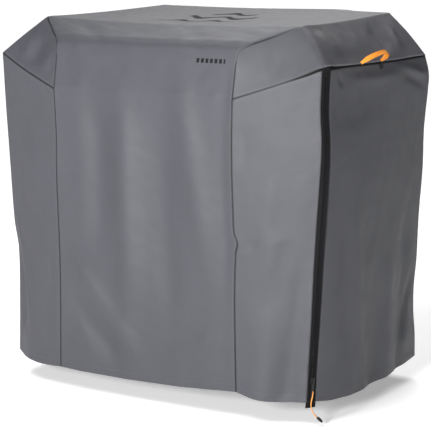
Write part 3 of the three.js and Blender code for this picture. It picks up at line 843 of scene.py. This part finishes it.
sew("left_slope_cloth", ["left_end_slope"],
    laid("-roof_left", "-left_shoulder", "left_back_ridge", "left_ridge"),
    folds=[(3, 26, [(0.9, 0.1), (0.75, 0.85)]), (-3, 30, [(0.4, 0.2), (0.3, 0.9)])],
    seed=7, groove=(0.4, 0.4, -1.5, 0.5), crease=0.9, swell=(0, 2, 0, 0))
sew("right_gusset_cloth", ["right_gusset"],
    laid("-right_dart", "right_gusset_foot", "right_gusset_front", "right_ridge"),
    folds=[(1.6, 20, [(0.32, 0.25), (0.36, 0.8)]), (-1.6, 18, [(0.52, 0.3), (0.55, 0.8)])],
    seed=11, groove=(1.8, 0.1, 1.4, 1.8), crease=0.8, swell=(0, 3.6, 0, 0))
sew("left_gusset_cloth", ["left_gusset"],
    laid("left_dart", "-left_gusset_foot", "left_ridge", "left_gusset_front"),
    folds=[(-5, 34, [(0.35, 0.2), (0.62, 0.85)]), (3, 20, [(0.75, 0.2), (0.85, 0.8)]),
           (3, 24, [(0.12, 0.3), (0.4, 0.9)])],
    seed=13, groove=(1.0, 1.8, 1.2, 0.3), crease=0.9, swell=(0, 0, 0, 2))

# %% Front grid
PANEL_WIDE, PANEL_HIGH, SHOULDER_HIGH = 0.68, 1.045, 0.15
BEND_ROWS, SOFTENINGS = 8, 30             # rows on each side of the bend, and how often they are averaged
for side in ("left", "right"):
    edge = np.vstack([seams[f"{side}_gusset_front"][:-1], seams[f"{side}_front"]])
    seams[f"{side}_panel_edge"] = resample(edge, np.linspace(0, 1, 600))
columns = spaced(PANEL_WIDE, 8 * MM)
front_grid = coons(seams["shoulder_fold"], seams["front_hem"], seams["left_panel_edge"],
                   seams["right_panel_edge"], columns, spaced(PANEL_HIGH, 9 * MM))
shoulder_grid = coons(seams["roof_front"], seams["shoulder_fold"], seams["left_dart"],
                      seams["right_dart"], columns, spaced(SHOULDER_HIGH, 8 * MM))
front = np.concatenate([shoulder_grid, front_grid[1:]])
bend_row = len(shoulder_grid) - 1
bend = front[bend_row - BEND_ROWS:bend_row + BEND_ROWS + 1, 1:-1]
for _ in range(SOFTENINGS):
    bend[1:-1] = 0.5 * bend[1:-1] + 0.25 * (bend[:-2] + bend[2:])
print("front grid", front.shape[:2], "bends at row", bend_row)

# %% Front panel with its shoulder
sew("front_cloth", ["front_shoulder", "front_panel"], front, material=front_cloth, seed=17,
    folds=[
        (-8, 46, [(0.22, 0.18), (0.24, 0.45), (0.22, 0.74)]),
        (12, 46, [(0.36, 0.15), (0.40, 0.45), (0.40, 0.92)]),
        (-8, 50, [(0.54, 0.18), (0.59, 0.50), (0.64, 0.92)]),
        (9, 44, [(0.66, 0.14), (0.76, 0.45), (0.83, 0.80)]),
        (-4, 30, [(0.90, 0.20), (0.93, 0.50), (0.92, 0.85)]),
        (8, 36, [(0.02, 0.69), (0.25, 0.80), (0.38, 0.87), (0.47, 0.96)]),
        (-8, 40, [(0.02, 0.79), (0.20, 0.88), (0.32, 0.935), (0.40, 0.985)]),
        (3, 26, [(0.95, 0.86), (0.72, 0.89), (0.58, 0.95)]),
        (-3, 20, [(0.97, 0.18), (0.93, 0.34)]),
    ],
    flutes=[(2, 0.15, 0.07, 0.7), (-3, 0.57, 0.08, 0.75), (3, 0.82, 0.07, 0.7)],
    groove=(0.4, 1.9, None, 1.9), crease=1.0)

# %% [markdown]
# ## Wings, sides and back
# The wings are the narrow panels on either side of the front panel. The right side panel runs from the
# zip to the back. When the zip is open, its lower front corner folds outwards, so this one cloth lies
# between two bodies of the frame; here it is attached to neither.
# %% Wings
sew("right_wing_cloth", ["right_wing"],
    laid("right_wing_top", "right_wing_hem", "right_front", "zip_wing", 8 * MM),
    folds=[(-2, 24, [(0.06, 0.08), (0.14, 0.16), (0.05, 0.22)]), (3, 34, [(0.40, 0.2), (0.45, 0.7)]),
           (-3.5, 34, [(0.90, 0.50), (0.76, 0.76), (0.62, 0.99)]), (3, 36, [(0.45, 0.65), (0.36, 0.99)]),
           (-2.5, 18, [(0.04, 0.46), (0.28, 0.49)])],
    flutes=[(3, 0.35, 0.16, 0.65), (-4, 0.72, 0.14, 0.7)], seed=19, groove=(1.4, 1.0, None, 1.9), crease=0.9)
sew("left_wing_cloth", ["left_wing"],
    laid("-left_gusset_foot", "left_wing_hem", "left_corner", "left_front", 8 * MM),
    folds=[(5, 20, [(0.03, 0.52), (0.22, 0.70), (0.34, 0.92)]),
           (-5, 26, [(0.02, 0.66), (0.14, 0.80), (0.2, 0.96)]),
           (3, 30, [(0.6, 0.2), (0.5, 0.5)]), (-3, 24, [(0.85, 0.5), (0.7, 0.9)])],
    flutes=[(4, 0.3, 0.12, 0.6), (-4, 0.65, 0.14, 0.6)], seed=23, groove=(1.2, 1.9, None, 1.2), crease=0.9)

# %% Sides
top_puckers = [
    (-3.5, 9, [(0.07, 0.005), (0.09, 0.03), (0.12, 0.06)]), (-3, 8, [(0.24, 0.005), (0.27, 0.03)]),
    (3, 20, [(0.10, 0.03), (0.45, 0.04), (0.80, 0.03)]),
    (4.5, 13, [(0.64, 0.01), (0.80, 0.035), (0.985, 0.075)]),
    (-3, 14, [(0.70, 0.045), (0.86, 0.075), (0.97, 0.11)]),
]
side_folds = [
    (-4, 40, [(0.12, 0.30), (0.16, 0.6), (0.24, 0.97)]), (4, 38, [(0.26, 0.3), (0.30, 0.7), (0.38, 0.99)]),
    (4, 36, [(0.60, 0.55), (0.66, 0.75), (0.62, 0.99)]), (-5, 38, [(0.80, 0.45), (0.84, 0.7), (0.78, 0.99)]),
    (-4, 24, [(0.98, 0.68), (0.88, 0.82), (0.83, 0.95)]),
]
right_side = sew("right_side_cloth", ["right_side_rear", "side_flap"],
                 laid("right_side_top", "right_side_hem", "zip_side", "right_back", 8 * MM),
                 folds=top_puckers + side_folds,
                 flutes=[(6, 0.25, 0.1, 0.6), (-6, 0.5, 0.1, 0.6), (5, 0.72, 0.1, 0.65)],
                 seed=29, groove=(1.6, 1.2, None, 1.0), crease=1.0, body=None)
mirrored = [(rise, spread, [(1 - u, v) for u, v in line])
            for rise, spread, line in top_puckers[3:] + side_folds]
sew("left_side_cloth", ["left_side"], laid("-left_side_top", "left_side_hem", "left_back", "left_corner"),
    folds=mirrored,
    flutes=[(6, 0.3, 0.1, 0.6), (-6, 0.55, 0.1, 0.6), (5, 0.8, 0.1, 0.65)], seed=31,
    groove=(2.4, 1.2, None, 1.2), crease=1.0)

# %% Back
seams["back_top"] = resample(np.vstack([seams["right_back_ridge"][::-1][:-1], seams["roof_back"][::-1][:-1],
                                        seams["left_back_ridge"]]), np.linspace(0, 1, 900))
sew("back_cloth", ["back_panel"], laid("back_top", "back_hem", "right_back", "left_back", 10 * MM),
    folds=[(6, 50, [(0.25, 0.15), (0.27, 0.5), (0.24, 0.99)]), (-6, 46, [(0.42, 0.2), (0.44, 0.99)]),
           (6, 50, [(0.60, 0.12), (0.62, 0.5), (0.58, 0.99)]), (-5, 44, [(0.76, 0.3), (0.78, 0.99)]),
           (7, 24, [(0.93, 0.14), (0.84, 0.30), (0.80, 0.5)]),
           (6, 24, [(0.07, 0.14), (0.15, 0.3), (0.18, 0.5)])],
    flutes=[(6, 0.12, 0.05, 0.6), (-6, 0.34, 0.06, 0.6), (6, 0.51, 0.06, 0.6), (-6, 0.7, 0.06, 0.6),
            (5, 0.88, 0.05, 0.6)], seed=37, groove=(0.4, 1.2, None, 1.2), crease=1.1)

# %% [markdown]
# ## The fold of the open corner
# The frame folds the corner about a straight line. Real cloth bends over a width, from `BEND_START` on
# the cover's side to `BEND_END` on the corner's. Those two ends are worked out here, but
# `bend_with_corner` only bakes a piece's place into its mesh and bends nothing.
# %% Bend
FOLD_FOOT = mm((563, 205, -1130))[0]      # where the fold line reaches the hem
FOLD_AXIS = unit(np.array((0.03542298, -0.44720314, 0.8937307)))
across_fold = unit(np.cross(FOLD_AXIS, (1, 0, 0)))
if across_fold[1] > 0:
    across_fold = -across_fold
BEND_BEHIND, BEND_AHEAD = 0.015, 0.110    # how far the bend reaches on each side of the line, in metres
BEND_START = FOLD_FOOT - BEND_BEHIND * across_fold
BEND_END = FOLD_FOOT + BEND_AHEAD * across_fold


def bend_with_corner(piece):
    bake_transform(piece)


bend_with_corner(right_side)
print("bend across", across_fold.round(3))

# %% [markdown]
# ## Turned-up hems
# Each lower edge is turned up 26 mm inside and stitched. The hem is cut from the same surface as its
# panel, one cloth's thickness further in, so it follows every fold.
# %% Hems
HEM_ROWS = np.array([26, 20, 13, 6, 0.8]) * MM    # up from the panel's lower edge
HEM_THICKNESS, HEM_DEPTH = 0.8 * MM, 1.2          # its depth behind the outer face, in cloth thicknesses
SIDE_TRIM = 2                                     # columns left out at each end


def inside_strip(name, nodes, panel_name, body="cover"):
    grid, run = ALL_PANELS[panel_name]["grid"], ALL_PANELS[panel_name]["y"]
    deeper = grid - grid_normals(grid) * HEM_DEPTH * CLOTH_THICKNESS
    strip = np.array([[[np.interp(run[-1, c] - up, run[:, c], deeper[:, c, k]) for k in range(3)]
                       for c in range(SIDE_TRIM, grid.shape[1] - SIDE_TRIM)] for up in HEM_ROWS])
    u, v = cloth_run(strip)
    return thicken(name, nodes, strip, u - u.mean(), v, cloth, body, None, HEM_THICKNESS, slot="lining")


hemmed = ("front", "right_wing", "left_wing", "left_side", "back")
for word in hemmed:
    inside_strip(f"{word}_hem_strip", [f"{word}_hem"], f"{word}_cloth")
bend_with_corner(inside_strip("right_side_hem_strip", ["right_side_rear_hem", "side_flap_hem"],
                              "right_side_cloth", None))
print(len(hemmed) + 1, "hems")

# %% [markdown]
# ## Bound seam allowances
# On the inner side, the two raw edges of each seam are wrapped in a black tape. A flat tube swept along
# the seam, a little inside it, stands for the folded edge in its tape.
# %% Bindings
BINDING_END, BINDING_STEP = 0.02, 0.02    # left free at each end, and between rings, in metres
fold_section = [(4, 0), (5, 1.0), (8, 1.3), (15, 1.2), (17.5, 0.9), (18.2, 0), (17.5, -0.9), (15, -1.2),
                (8, -1.3), (5, -1.0)]     # inwards from the seam and across, in millimetres


def binding(name, seam, inwards):
    run = lengths(seams[seam])[-1]
    trim = BINDING_END / run
    line = resample(seams[seam], np.linspace(trim, 1 - trim, max(12, int(run / BINDING_STEP))))
    tangent = unit(np.gradient(line, axis=0))
    inwards = np.array(inwards, float)
    deep = unit(inwards - tangent * (tangent @ inwards)[:, None])
    flat = np.cross(tangent, deep)
    rings = np.stack([line + MM * (d * deep + f * flat) for d, f in fold_section], 1)
    piece = bar(f"{name}_tape", rings, np.linspace(0, 0.03, len(fold_section)), lengths(line), binding_weave)
    belongs(piece, "cover", "binding", name)


binding("roof_front_binding", "roof_front", (0, 0.1, -1))
binding("roof_back_binding", "roof_back", (0, -1, -1))
binding("front_shoulder_binding", "shoulder_fold", (0, 1, -0.7))
binding("left_corner_binding", "left_corner", (0.8, 0.6, 0))
for word, side in (("right", 1), ("left", -1)):
    binding(f"{word}_roof_binding", f"roof_{word}", (-0.3 * side, 0, -1))
    binding(f"{word}_gusset_top_binding", f"{word}_dart", (0, 0.7, -0.7))
    binding(f"{word}_gusset_foot_binding", f"{word}_gusset_foot", (-0.15 * side, 1, -0.1))
    binding(f"{word}_slope_binding", f"{word}_shoulder", (-1 * side, 0, -0.45))
    binding(f"{word}_front_seam_binding", f"{word}_front", (-0.15 * side, 1, 0))
    binding(f"{word}_back_seam_binding", f"{word}_back", (-1 * side, -1, 0))
print("bindings sewn")

# %% [markdown]
# ## Rows of stitches, by Geometry Nodes
# Thousands of stitches lie along the seams, all alike. A tree of Geometry Nodes takes a line, spaces
# points along it, turns a small bead to follow the line and the cloth, and puts one at each point. The
# zip's teeth are the same tree with a wide, short bead.
# %% Bead rows
def row_of_beads_tree():
    tree = bpy.data.node_groups.new("row_of_beads", "GeometryNodeTree")
    face = tree.interface
    face.new_socket("Line", in_out="INPUT", socket_type="NodeSocketGeometry")
    for label in ("Pitch", "Length", "Width", "Height"):
        face.new_socket(label, in_out="INPUT", socket_type="NodeSocketFloat")
    face.new_socket("Material", in_out="INPUT", socket_type="NodeSocketMaterial")
    face.new_socket("Beads", in_out="OUTPUT", socket_type="NodeSocketGeometry")
    add, join = tree.nodes.new, tree.links.new
    given, result = add("NodeGroupInput"), add("NodeGroupOutput")
    curve = add("GeometryNodeMeshToCurve")
    join(given.outputs["Line"], curve.inputs["Mesh"])
    spread = add("GeometryNodeResampleCurve")
    spread.mode = "LENGTH"
    join(curve.outputs[0], spread.inputs["Curve"])
    join(given.outputs["Pitch"], spread.inputs["Length"])
    out = add("GeometryNodeInputNamedAttribute")
    out.data_type = "FLOAT_VECTOR"
    out.inputs["Name"].default_value = "out"
    tangent = add("GeometryNodeInputTangent")
    turn = add("FunctionNodeAxesToRotation")
    turn.primary_axis, turn.secondary_axis = "Z", "X"
    join(out.outputs[0], turn.inputs["Primary Axis"])
    join(tangent.outputs[0], turn.inputs["Secondary Axis"])
    bead = add("GeometryNodeMeshUVSphere")
    bead.inputs["Segments"].default_value = 6
    bead.inputs["Rings"].default_value = 4
    bead.inputs["Radius"].default_value = 0.5
    size = add("ShaderNodeCombineXYZ")
    for label, axis in zip(("Length", "Width", "Height"), "XYZ"):
        join(given.outputs[label], size.inputs[axis])
    place_beads = add("GeometryNodeInstanceOnPoints")
    join(spread.outputs[0], place_beads.inputs["Points"])
    join(bead.outputs["Mesh"], place_beads.inputs["Instance"])
    join(turn.outputs[0], place_beads.inputs["Rotation"])
    join(size.outputs[0], place_beads.inputs["Scale"])
    real = add("GeometryNodeRealizeInstances")
    join(place_beads.outputs[0], real.inputs[0])
    paint = add("GeometryNodeSetMaterial")
    join(real.outputs[0], paint.inputs["Geometry"])
    join(given.outputs["Material"], paint.inputs["Material"])
    join(paint.outputs[0], result.inputs["Beads"])
    return tree


bead_tree = row_of_beads_tree()


def bead_row(name, lines, pitch, size, material, body, slot, *nodes):
    """lines is a list of (points, outward directions). size is the bead's length, width and height in mm."""
    points, edges, outs = [], [], []
    for line, out in lines:
        first = len(points)
        points += [tuple(p) for p in line]
        outs += [tuple(o) for o in out]
        edges += [(first + k, first + k + 1) for k in range(len(line) - 1)]
    rail = bpy.data.meshes.new(name + "_rail")
    rail.from_pydata(points, edges, [])
    out = rail.attributes.new("out", "FLOAT_VECTOR", "POINT")
    out.data.foreach_set("vector", np.array(outs, np.float32).ravel())
    holder = added(name, rail)
    rows = holder.modifiers.new("beads", "NODES")
    rows.node_group = bead_tree
    socket = {item.name: item.identifier for item in bead_tree.interface.items_tree
              if item.in_out == "INPUT"}
    rows[socket["Pitch"]] = pitch * MM
    for label, value in zip(("Length", "Width", "Height"), size):
        rows[socket[label]] = value * MM
    rows[socket["Material"]] = material
    plain = bpy.data.meshes.new_from_object(holder.evaluated_get(bpy.context.evaluated_depsgraph_get()))
    holder.modifiers.clear()
    holder.data = plain
    plain.polygons.foreach_set("use_smooth", [True] * len(plain.polygons))
    print(name, len(plain.polygons), "faces")
    return belongs(holder, body, slot, *nodes)


print("bead rows ready")

# %% Stitches
STITCH_PITCH, STITCH = 4.4, (3.3, 0.85, 0.7)      # millimetres: length, width and height of one stitch
STITCH_LIFT, STITCH_FREE = 0.25, 0.012            # above the cloth in mm, and left free at each end in m
HEM_INSET, ZIP_INSET = 22, 4


def stitch_line(panel_name, edge, inset):
    """A line on a panel at a fixed distance from one edge, with the cloth's outward directions."""
    panel = ALL_PANELS[panel_name]
    grid, run = panel["grid"], panel["x"]
    normals = grid_normals(grid)
    if edge == "bottom":
        grid, normals, run = grid.transpose(1, 0, 2), normals.transpose(1, 0, 2), panel["y"].T
    line, out = [], []
    for points, ways, far in zip(grid, normals, run):
        at = inset * MM if edge == "left" else far[-1] - inset * MM
        line.append([np.interp(at, far, points[:, k]) for k in range(3)])
        out.append([np.interp(at, far, ways[:, k]) for k in range(3)])
    line, out = np.array(line), unit(np.array(out))
    run = lengths(line)
    keep = (run > STITCH_FREE) & (run < run[-1] - STITCH_FREE)
    return line[keep] + out[keep] * STITCH_LIFT * MM, out[keep]


def stitches(name, lines, body="cover"):
    return bead_row(name, lines, STITCH_PITCH, STITCH, grey_thread, body, "cover_cloth")


stitches("seam_stitches", [stitch_line(f"{panel}_cloth", edge, inset) for panel, edge, inset in (
    ("front", "left", 6), ("front", "right", 6), ("right_gusset", "bottom", 6), ("left_gusset", "bottom", 6),
    ("right_slope", "bottom", 7), ("left_slope", "bottom", 7), ("left_side", "right", 6),
    ("left_side", "left", 6), ("back", "left", 6), ("right_wing", "right", ZIP_INSET))])
stitches("hem_stitches", [stitch_line(f"{panel}_cloth", "bottom", HEM_INSET) for panel in hemmed])
bend_with_corner(stitches("side_stitches", [stitch_line("right_side_cloth", "left", ZIP_INSET),
                                            stitch_line("right_side_cloth", "bottom", HEM_INSET)], None))

# %% [markdown]
# ## The zip
# Two woven tapes carry two coils whose turns mesh. The tapes run under the folded cloth edges, and their
# tails hang a little below the hem. Each coil turn shows as a short bar, half a pitch off from its
# partner on the other tape.
# %% Zip tapes and coils
TAPE_NEAR, TAPE_FAR = 0.3, 17.5           # its two edges from the zip's middle, in millimetres
TAPE_TOP, TAPE_TAIL = -0.004, 0.012       # past the zip's two ends, in metres
COIL_TOP, COIL_TAIL = 0.022, 0.001        # below the top of the zip and past its foot, in metres
COIL_AT, COIL_OUT, COIL_PITCH, COIL_TURN = 2.35, 0.7, 2.2, (1.35, 4.6, 2.6)    # in millimetres


def zip_tape(name, node, side, body):
    """side is -1 for the front tape and 1 for the side tape. Its outer edge goes in under the cloth."""
    downs = np.linspace(TAPE_TOP, ZIP_LENGTH + TAPE_TAIL, 220)
    steps = np.linspace(TAPE_NEAR, TAPE_FAR, 7)
    drop = -0.9 - 1.3 * smooth_share(steps, 9, 14)
    grid = np.stack([zip_at(downs, side * s, d) for s, d in zip(steps, drop)], 1)
    if side < 0:
        grid = grid[:, ::-1]
    u = np.broadcast_to((steps * side * MM)[::side], grid.shape[:2])
    v = np.broadcast_to(downs[:, None], grid.shape[:2])
    return thicken(name, [node], grid, u, v, zip_weave, body, None, 0.7 * MM, zip_weave, "zip_tape")


def zip_coil(name, node, side, start, body):
    """One coil. start moves it down the zip, so that the two coils mesh."""
    downs = np.linspace(COIL_TOP + start * MM, ZIP_LENGTH + COIL_TAIL, 300)
    middle = zip_at(downs, side * COIL_AT, COIL_OUT)
    ways = unit(zip_at(downs, side * COIL_AT, 5) - middle)
    return bead_row(name, [(middle, ways)], COIL_PITCH, COIL_TURN, coil, body, "zip_coil", node)


zip_tape("front_tape", "zip_tape_front", -1, "cover")
bend_with_corner(zip_tape("side_tape", "zip_tape_side", 1, None))
zip_coil("front_coil", "zip_coil_front", -1, 0, "cover")
bend_with_corner(zip_coil("side_coil", "zip_coil_side", 1, COIL_PITCH / 2, None))

# %% [markdown]
# ## End patch, stop, slider and puller
# A folded patch of tape closes the top of the zip, and a crimped stop keeps the slider on. The slider is
# cast metal with rounded edges: a shield over the coils, a plate behind the tapes, an arch, and a flat
# puller with an eye for the cord. Each is an outline raised to its thickness, with its edges rounded.
# %% Plates
FLAT_ANGLE, CORNER_ANGLE, SHARP_ANGLE = 0.01, 0.9, 0.6    # in radians


def slab(name, node, outline, low, high, bevel, body, holes=()):
    """A metal plate. Its outline lies across and down the zip, between two heights over it, all in
    millimetres."""
    work = bmesh.new()
    loops = []
    for loop in (outline, *holes):
        corners = [work.verts.new((a, d, low)) for a, d in loop]
        loops += [work.edges.new((corners[k], corners[(k + 1) % len(corners)])) for k in range(len(corners))]
    filled = bmesh.ops.triangle_fill(work, edges=loops, use_beauty=True)["geom"]
    faces = [g for g in filled if isinstance(g, bmesh.types.BMFace)]
    raised = bmesh.ops.extrude_face_region(work, geom=faces)["geom"]
    lifted = [g for g in raised if isinstance(g, bmesh.types.BMVert)]
    bmesh.ops.translate(work, verts=lifted, vec=(0, 0, high - low))
    bmesh.ops.recalc_face_normals(work, faces=work.faces)
    bmesh.ops.dissolve_limit(work, angle_limit=FLAT_ANGLE, verts=work.verts, edges=work.edges)
    sharp = [e for e in work.edges if len(e.link_faces) == 2 and e.calc_face_angle(0) > CORNER_ANGLE]
    bmesh.ops.bevel(work, geom=sharp, offset=bevel, segments=2, affect="EDGES", profile=0.6)
    for vertex in work.verts:
        a, d, o = vertex.co
        vertex.co = Vector(on_zip(a, o, d))
    bmesh.ops.triangulate(work, faces=[f for f in work.faces if len(f.verts) > 4])
    bmesh.ops.recalc_face_normals(work, faces=work.faces)
    mesh = bpy.data.meshes.new(name)
    work.to_mesh(mesh)
    work.free()
    mesh.materials.append(metal)
    mesh.polygons.foreach_set("use_smooth", [True] * len(mesh.polygons))
    mesh.set_sharp_from_angle(angle=SHARP_ANGLE)
    print(name, len(mesh.polygons), "faces")
    return belongs(added(name, mesh), body, "zip_metal", node)


print("plates ready")

# %% Slider and stop
SLIDER_HEAD, SLIDER_FOOT = 921.8, 945.8   # down the zip from its top, in millimetres
shield = [(-5.2, SLIDER_HEAD), (5.2, SLIDER_HEAD), (7.2, SLIDER_HEAD + 3), (7.5, SLIDER_HEAD + 11),
          (6.0, SLIDER_FOOT - 3.5), (4.6, SLIDER_FOOT), (-4.6, SLIDER_FOOT), (-6.0, SLIDER_FOOT - 3.5),
          (-7.5, SLIDER_HEAD + 11), (-7.2, SLIDER_HEAD + 3)]
slab("slider_shield", "zip_slider_front", shield, 3.4, 5.2, 0.5, "slider")
slab("slider_back_plate", "zip_slider_back", shield, -3.0, -1.2, 0.4, "slider")
slab("top_stop", "zip_top_stop", [(-4.4, 17), (-0.3, 17), (-0.3, 23), (-4.4, 23)], 0.4, 3.0, 0.5, "cover")

# %% Bridge and puller
arch_line = np.array([on_zip(0, out, down) for out, down in (
    (5.0, 928.9), (6.6, 928.8), (8.2, 929.6), (8.8, 931.4), (8.9, 933.8), (8.8, 936.2), (8.2, 938.0),
    (6.6, 938.8), (5.0, 938.7))])
tube("slider_arch", "zip_slider_bridge", smooth_line(arch_line, 30), 0.8 * MM, 10, metal, "slider",
     "zip_metal", squash=2.2)
PULLER_AT, PULLER_LEVEL = 933.8, 6.7
puller_outline = [(a, PULLER_AT + d) for a, d in (
    (-3.8, -0.7), (3.8, -0.7), (3.9, 5), (4.5, 11.5), (4.5, 29), (3.6, 32.6), (2.2, 34), (-2.2, 34),
    (-3.6, 32.6), (-4.5, 29), (-4.5, 11.5), (-3.9, 5))]
window = [(a, PULLER_AT + d) for a, d in ((-2.8, 0.7), (-2.8, 6.5), (2.8, 6.5), (2.8, 0.7))]
eye = [(a, PULLER_AT + d) for a, d in ((-2.7, 28.0), (-2.7, 32.6), (2.7, 32.6), (2.7, 28.0))]
slab("puller_plate", "zip_puller", puller_outline, PULLER_LEVEL - 0.7, PULLER_LEVEL + 0.7, 0.25, "puller",
     holes=(window, eye))

# %% End patch
patch_downs = np.linspace(-0.006, 0.017, 10)
patch_steps = np.linspace(-13, 13, 13)
patch_rise = 0.9 - 0.004 * patch_steps ** 2
patch_grid = np.stack([zip_at(patch_downs, s, r) for s, r in zip(patch_steps, patch_rise)], 1)
thicken("end_patch", ["zip_end_patch"], patch_grid,
        np.broadcast_to(patch_steps * MM, patch_grid.shape[:2]),
        np.broadcast_to(patch_downs[:, None], patch_grid.shape[:2]),
        zip_weave, "cover", None, 1.2 * MM, zip_weave, "zip_tape")
print("zip made")

# %% [markdown]
# ## Lifting handles
# A strip of orange webbing is folded into a loop and both ends are sewn into the shoulder seam. Its
# front end rises slowly along the seam, and the rear end curls under. Both are drawn in narrower where
# they are sewn. It is swept along its own line as a thin band with thick woven edges, so it can be slim
# and still closed.
# %% Webbing handles
HANDLE_LEAN = math.radians(45)            # outwards from upright
STRAP_NARROW, STRAP_WIDER = 4.8, 3.0      # half its width at the seam, and what it gains above, in mm
strap_section = [(-1, 0.15), (-0.97, 0.85), (-0.88, 1.0), (-0.6, 0.8), (0, 0.75), (0.6, 0.8), (0.88, 1.0),
                 (0.97, 0.85), (1, 0.15), (1, -0.15), (0.97, -0.85), (0.88, -1.0), (0.6, -0.8), (0, -0.75),
                 (-0.6, -0.8), (-0.88, -1.0), (-0.97, -0.85), (-1, -0.15)]
# from front to rear along the seam, and out from it, in millimetres
strap_route = [(-108, -1.4), (-99, 10), (-80, 25), (-50, 36), (-15, 41), (14, 35), (27, 20), (24, 8),
               (20, -1.4)]


def webbing_handle(word, side):
    rise = np.array((side * math.sin(HANDLE_LEAN), 0, math.cos(HANDLE_LEAN)))
    wide = np.array((side * math.cos(HANDLE_LEAN), 0, -math.sin(HANDLE_LEAN)))
    flat_line = smooth_line(mm(*[(0, y, r) for y, r in strap_route]), 70)
    base = mm((side * 601, 0, -124))[0]
    line = base + np.outer(flat_line[:, 1], (0, 1, 0)) + np.outer(flat_line[:, 2], rise)
    tangent = unit(np.gradient(line, axis=0))
    through = np.cross(tangent, wide)
    share = smooth_share(flat_line[:, 2], 3 * MM, 18 * MM)
    half_width = (STRAP_NARROW + STRAP_WIDER * share) * MM
    bow = 0.8 * MM * np.sin(np.linspace(0, 9, len(line))) * share
    rings = np.stack([line + wide * (half_width * a)[:, None] + through * (MM * t + bow * a * a)[:, None]
                      for a, t in strap_section], 1)
    widths = np.array([a for a, _ in strap_section]) * 9 * MM
    piece = bar(f"{word}_webbing", rings, widths, lengths(line), webbing)
    belongs(piece, f"{word}_loop", "webbing", f"{word}_handle")
    print(piece.name, len(piece.data.polygons), "faces")


print("strap section has", len(strap_section), "points")

# %% [markdown]
# ## Tabs and backing patches
# A small black tape tab is stitched under the seam behind each handle, and a coated patch lies inside,
# behind the handle's sewn ends. Both are short sheets that lie along the frame's own side plane.
# %% Tabs and patches
SIDE_X, SIDE_TOP, SIDE_LEAN = 601, -124, 38 / 1006    # the side plane: it leans in towards the hem


def side_patch(name, node, side, middle, below, length, height, out, material, slot):
    """A patch that lies along a side panel, at a height over the frame's own plane of it."""
    ys = np.linspace(middle - length / 2, middle + length / 2, 14)
    if side < 0:
        ys = ys[::-1]
    downs = np.linspace(below, below + height, 10)
    y, d = np.meshgrid(ys, downs)
    edge = np.minimum.reduce([y - ys.min(), ys.max() - y, d - below, below + height - d])
    lift = out - 0.5 * np.exp(-edge / 1.2)
    grid = np.stack([side * (SIDE_X - SIDE_LEAN * d + lift), y, SIDE_TOP - d + 0 * y], -1) * MM
    thicken(name, [node], grid, (y - middle) * MM, d * MM, material, "cover", None, 1.2 * MM, material, slot)
    return grid


for word, side in (("right", 1), ("left", -1)):
    webbing_handle(word, side)
    tab = side_patch(f"{word}_tab", f"{word}_handle_tab", side, middle=20, below=6, length=24, height=22,
                     out=3.2, material=binding_weave, slot="binding")
    side_patch(f"{word}_backing", f"{word}_handle_patch", side, middle=-43.5, below=24, length=190,
               height=40, out=-3.0, material=lining, slot="lining")
    box = [tab[1, 1], tab[1, -2], tab[-2, -2], tab[-2, 1], tab[1, 1]]
    box_line = resample(np.array(box) + np.array((side * 0.3 * MM, 0, 0)), np.linspace(0, 1, 60))
    bead_row(f"{word}_tab_stitches", [(box_line, np.tile((float(side), 0.0, 0.0), (60, 1)))], 2.6,
             (1.9, 0.7, 0.6), black_thread, "cover", "binding")
print("tabs and patches made")

# %% [markdown]
# ## Floor and light
# The grill's wheels lift the hem about 60 mm clear of the floor. The floor has no edge to be seen, and
# it glows more the further off it is, so it runs into a pale distance. Three soft lights shine on the
# cover: a key low in front, one above the front, and a wide one above and behind for the roof. A weak
# even light from all round fills what they leave.
# %% Floor
FLOOR_LEVEL, FLOOR_SIZE = -1.198, 200
NEAR_GLOW, GLOW_FROM, GLOW_TO = 0.34, 2.8, 8.0    # the glow near the cover, and where it starts and is full
bpy.ops.mesh.primitive_plane_add(size=FLOOR_SIZE, location=(0, 0, FLOOR_LEVEL))
floor = bpy.context.object
floor.name = "floor"
pale = Finish("pale_floor", (0.9, 0.9, 0.9), 0.8)
pale.set(Base_Color=pale.mix(pale.noise(pale.place(), 3.0), (0.89, 0.89, 0.89), (0.91, 0.91, 0.91)))
east, north = pale.parts(pale.place(), 0, 1)
far_off = pale.step((east * east + north * north).do("SQRT"), GLOW_FROM, GLOW_TO)
pale.set(Emission_Color=pale.mix(far_off, (NEAR_GLOW,) * 3, (1, 1, 1)), Emission_Strength=1.0)
floor.data.materials.append(pale.material)
print("floor at", FLOOR_LEVEL)


# %% Lights
def soft_light(name, place, size, power, aim=(0, 0, -0.55)):
    data = bpy.data.lights.new(name, "AREA")
    data.shape, data.size, data.energy = "DISK", size, power
    lamp = added(name, data)
    lamp.location = place
    lamp.rotation_euler = (Vector(place) - Vector(aim)).to_track_quat("Z", "Y").to_euler()
    print(name, power, "W")


soft_light("key", (1.2, -5.5, 0.6), 1.2, 390)
soft_light("top_front", (0.1, -3.2, 3.4), 2.0, 145)
soft_light("top_back", (-1.3, 3.0, 3.6), 4.0, 215)
FILL_STRENGTH = 0.08
world = bpy.data.worlds.new("studio")
bpy.context.scene.world = world
world.use_nodes = True
fill = world.node_tree.nodes["Background"].inputs
fill["Color"].default_value = (1, 1, 1, 1)
fill["Strength"].default_value = FILL_STRENGTH
bpy.context.scene.view_settings.view_transform = "Standard"
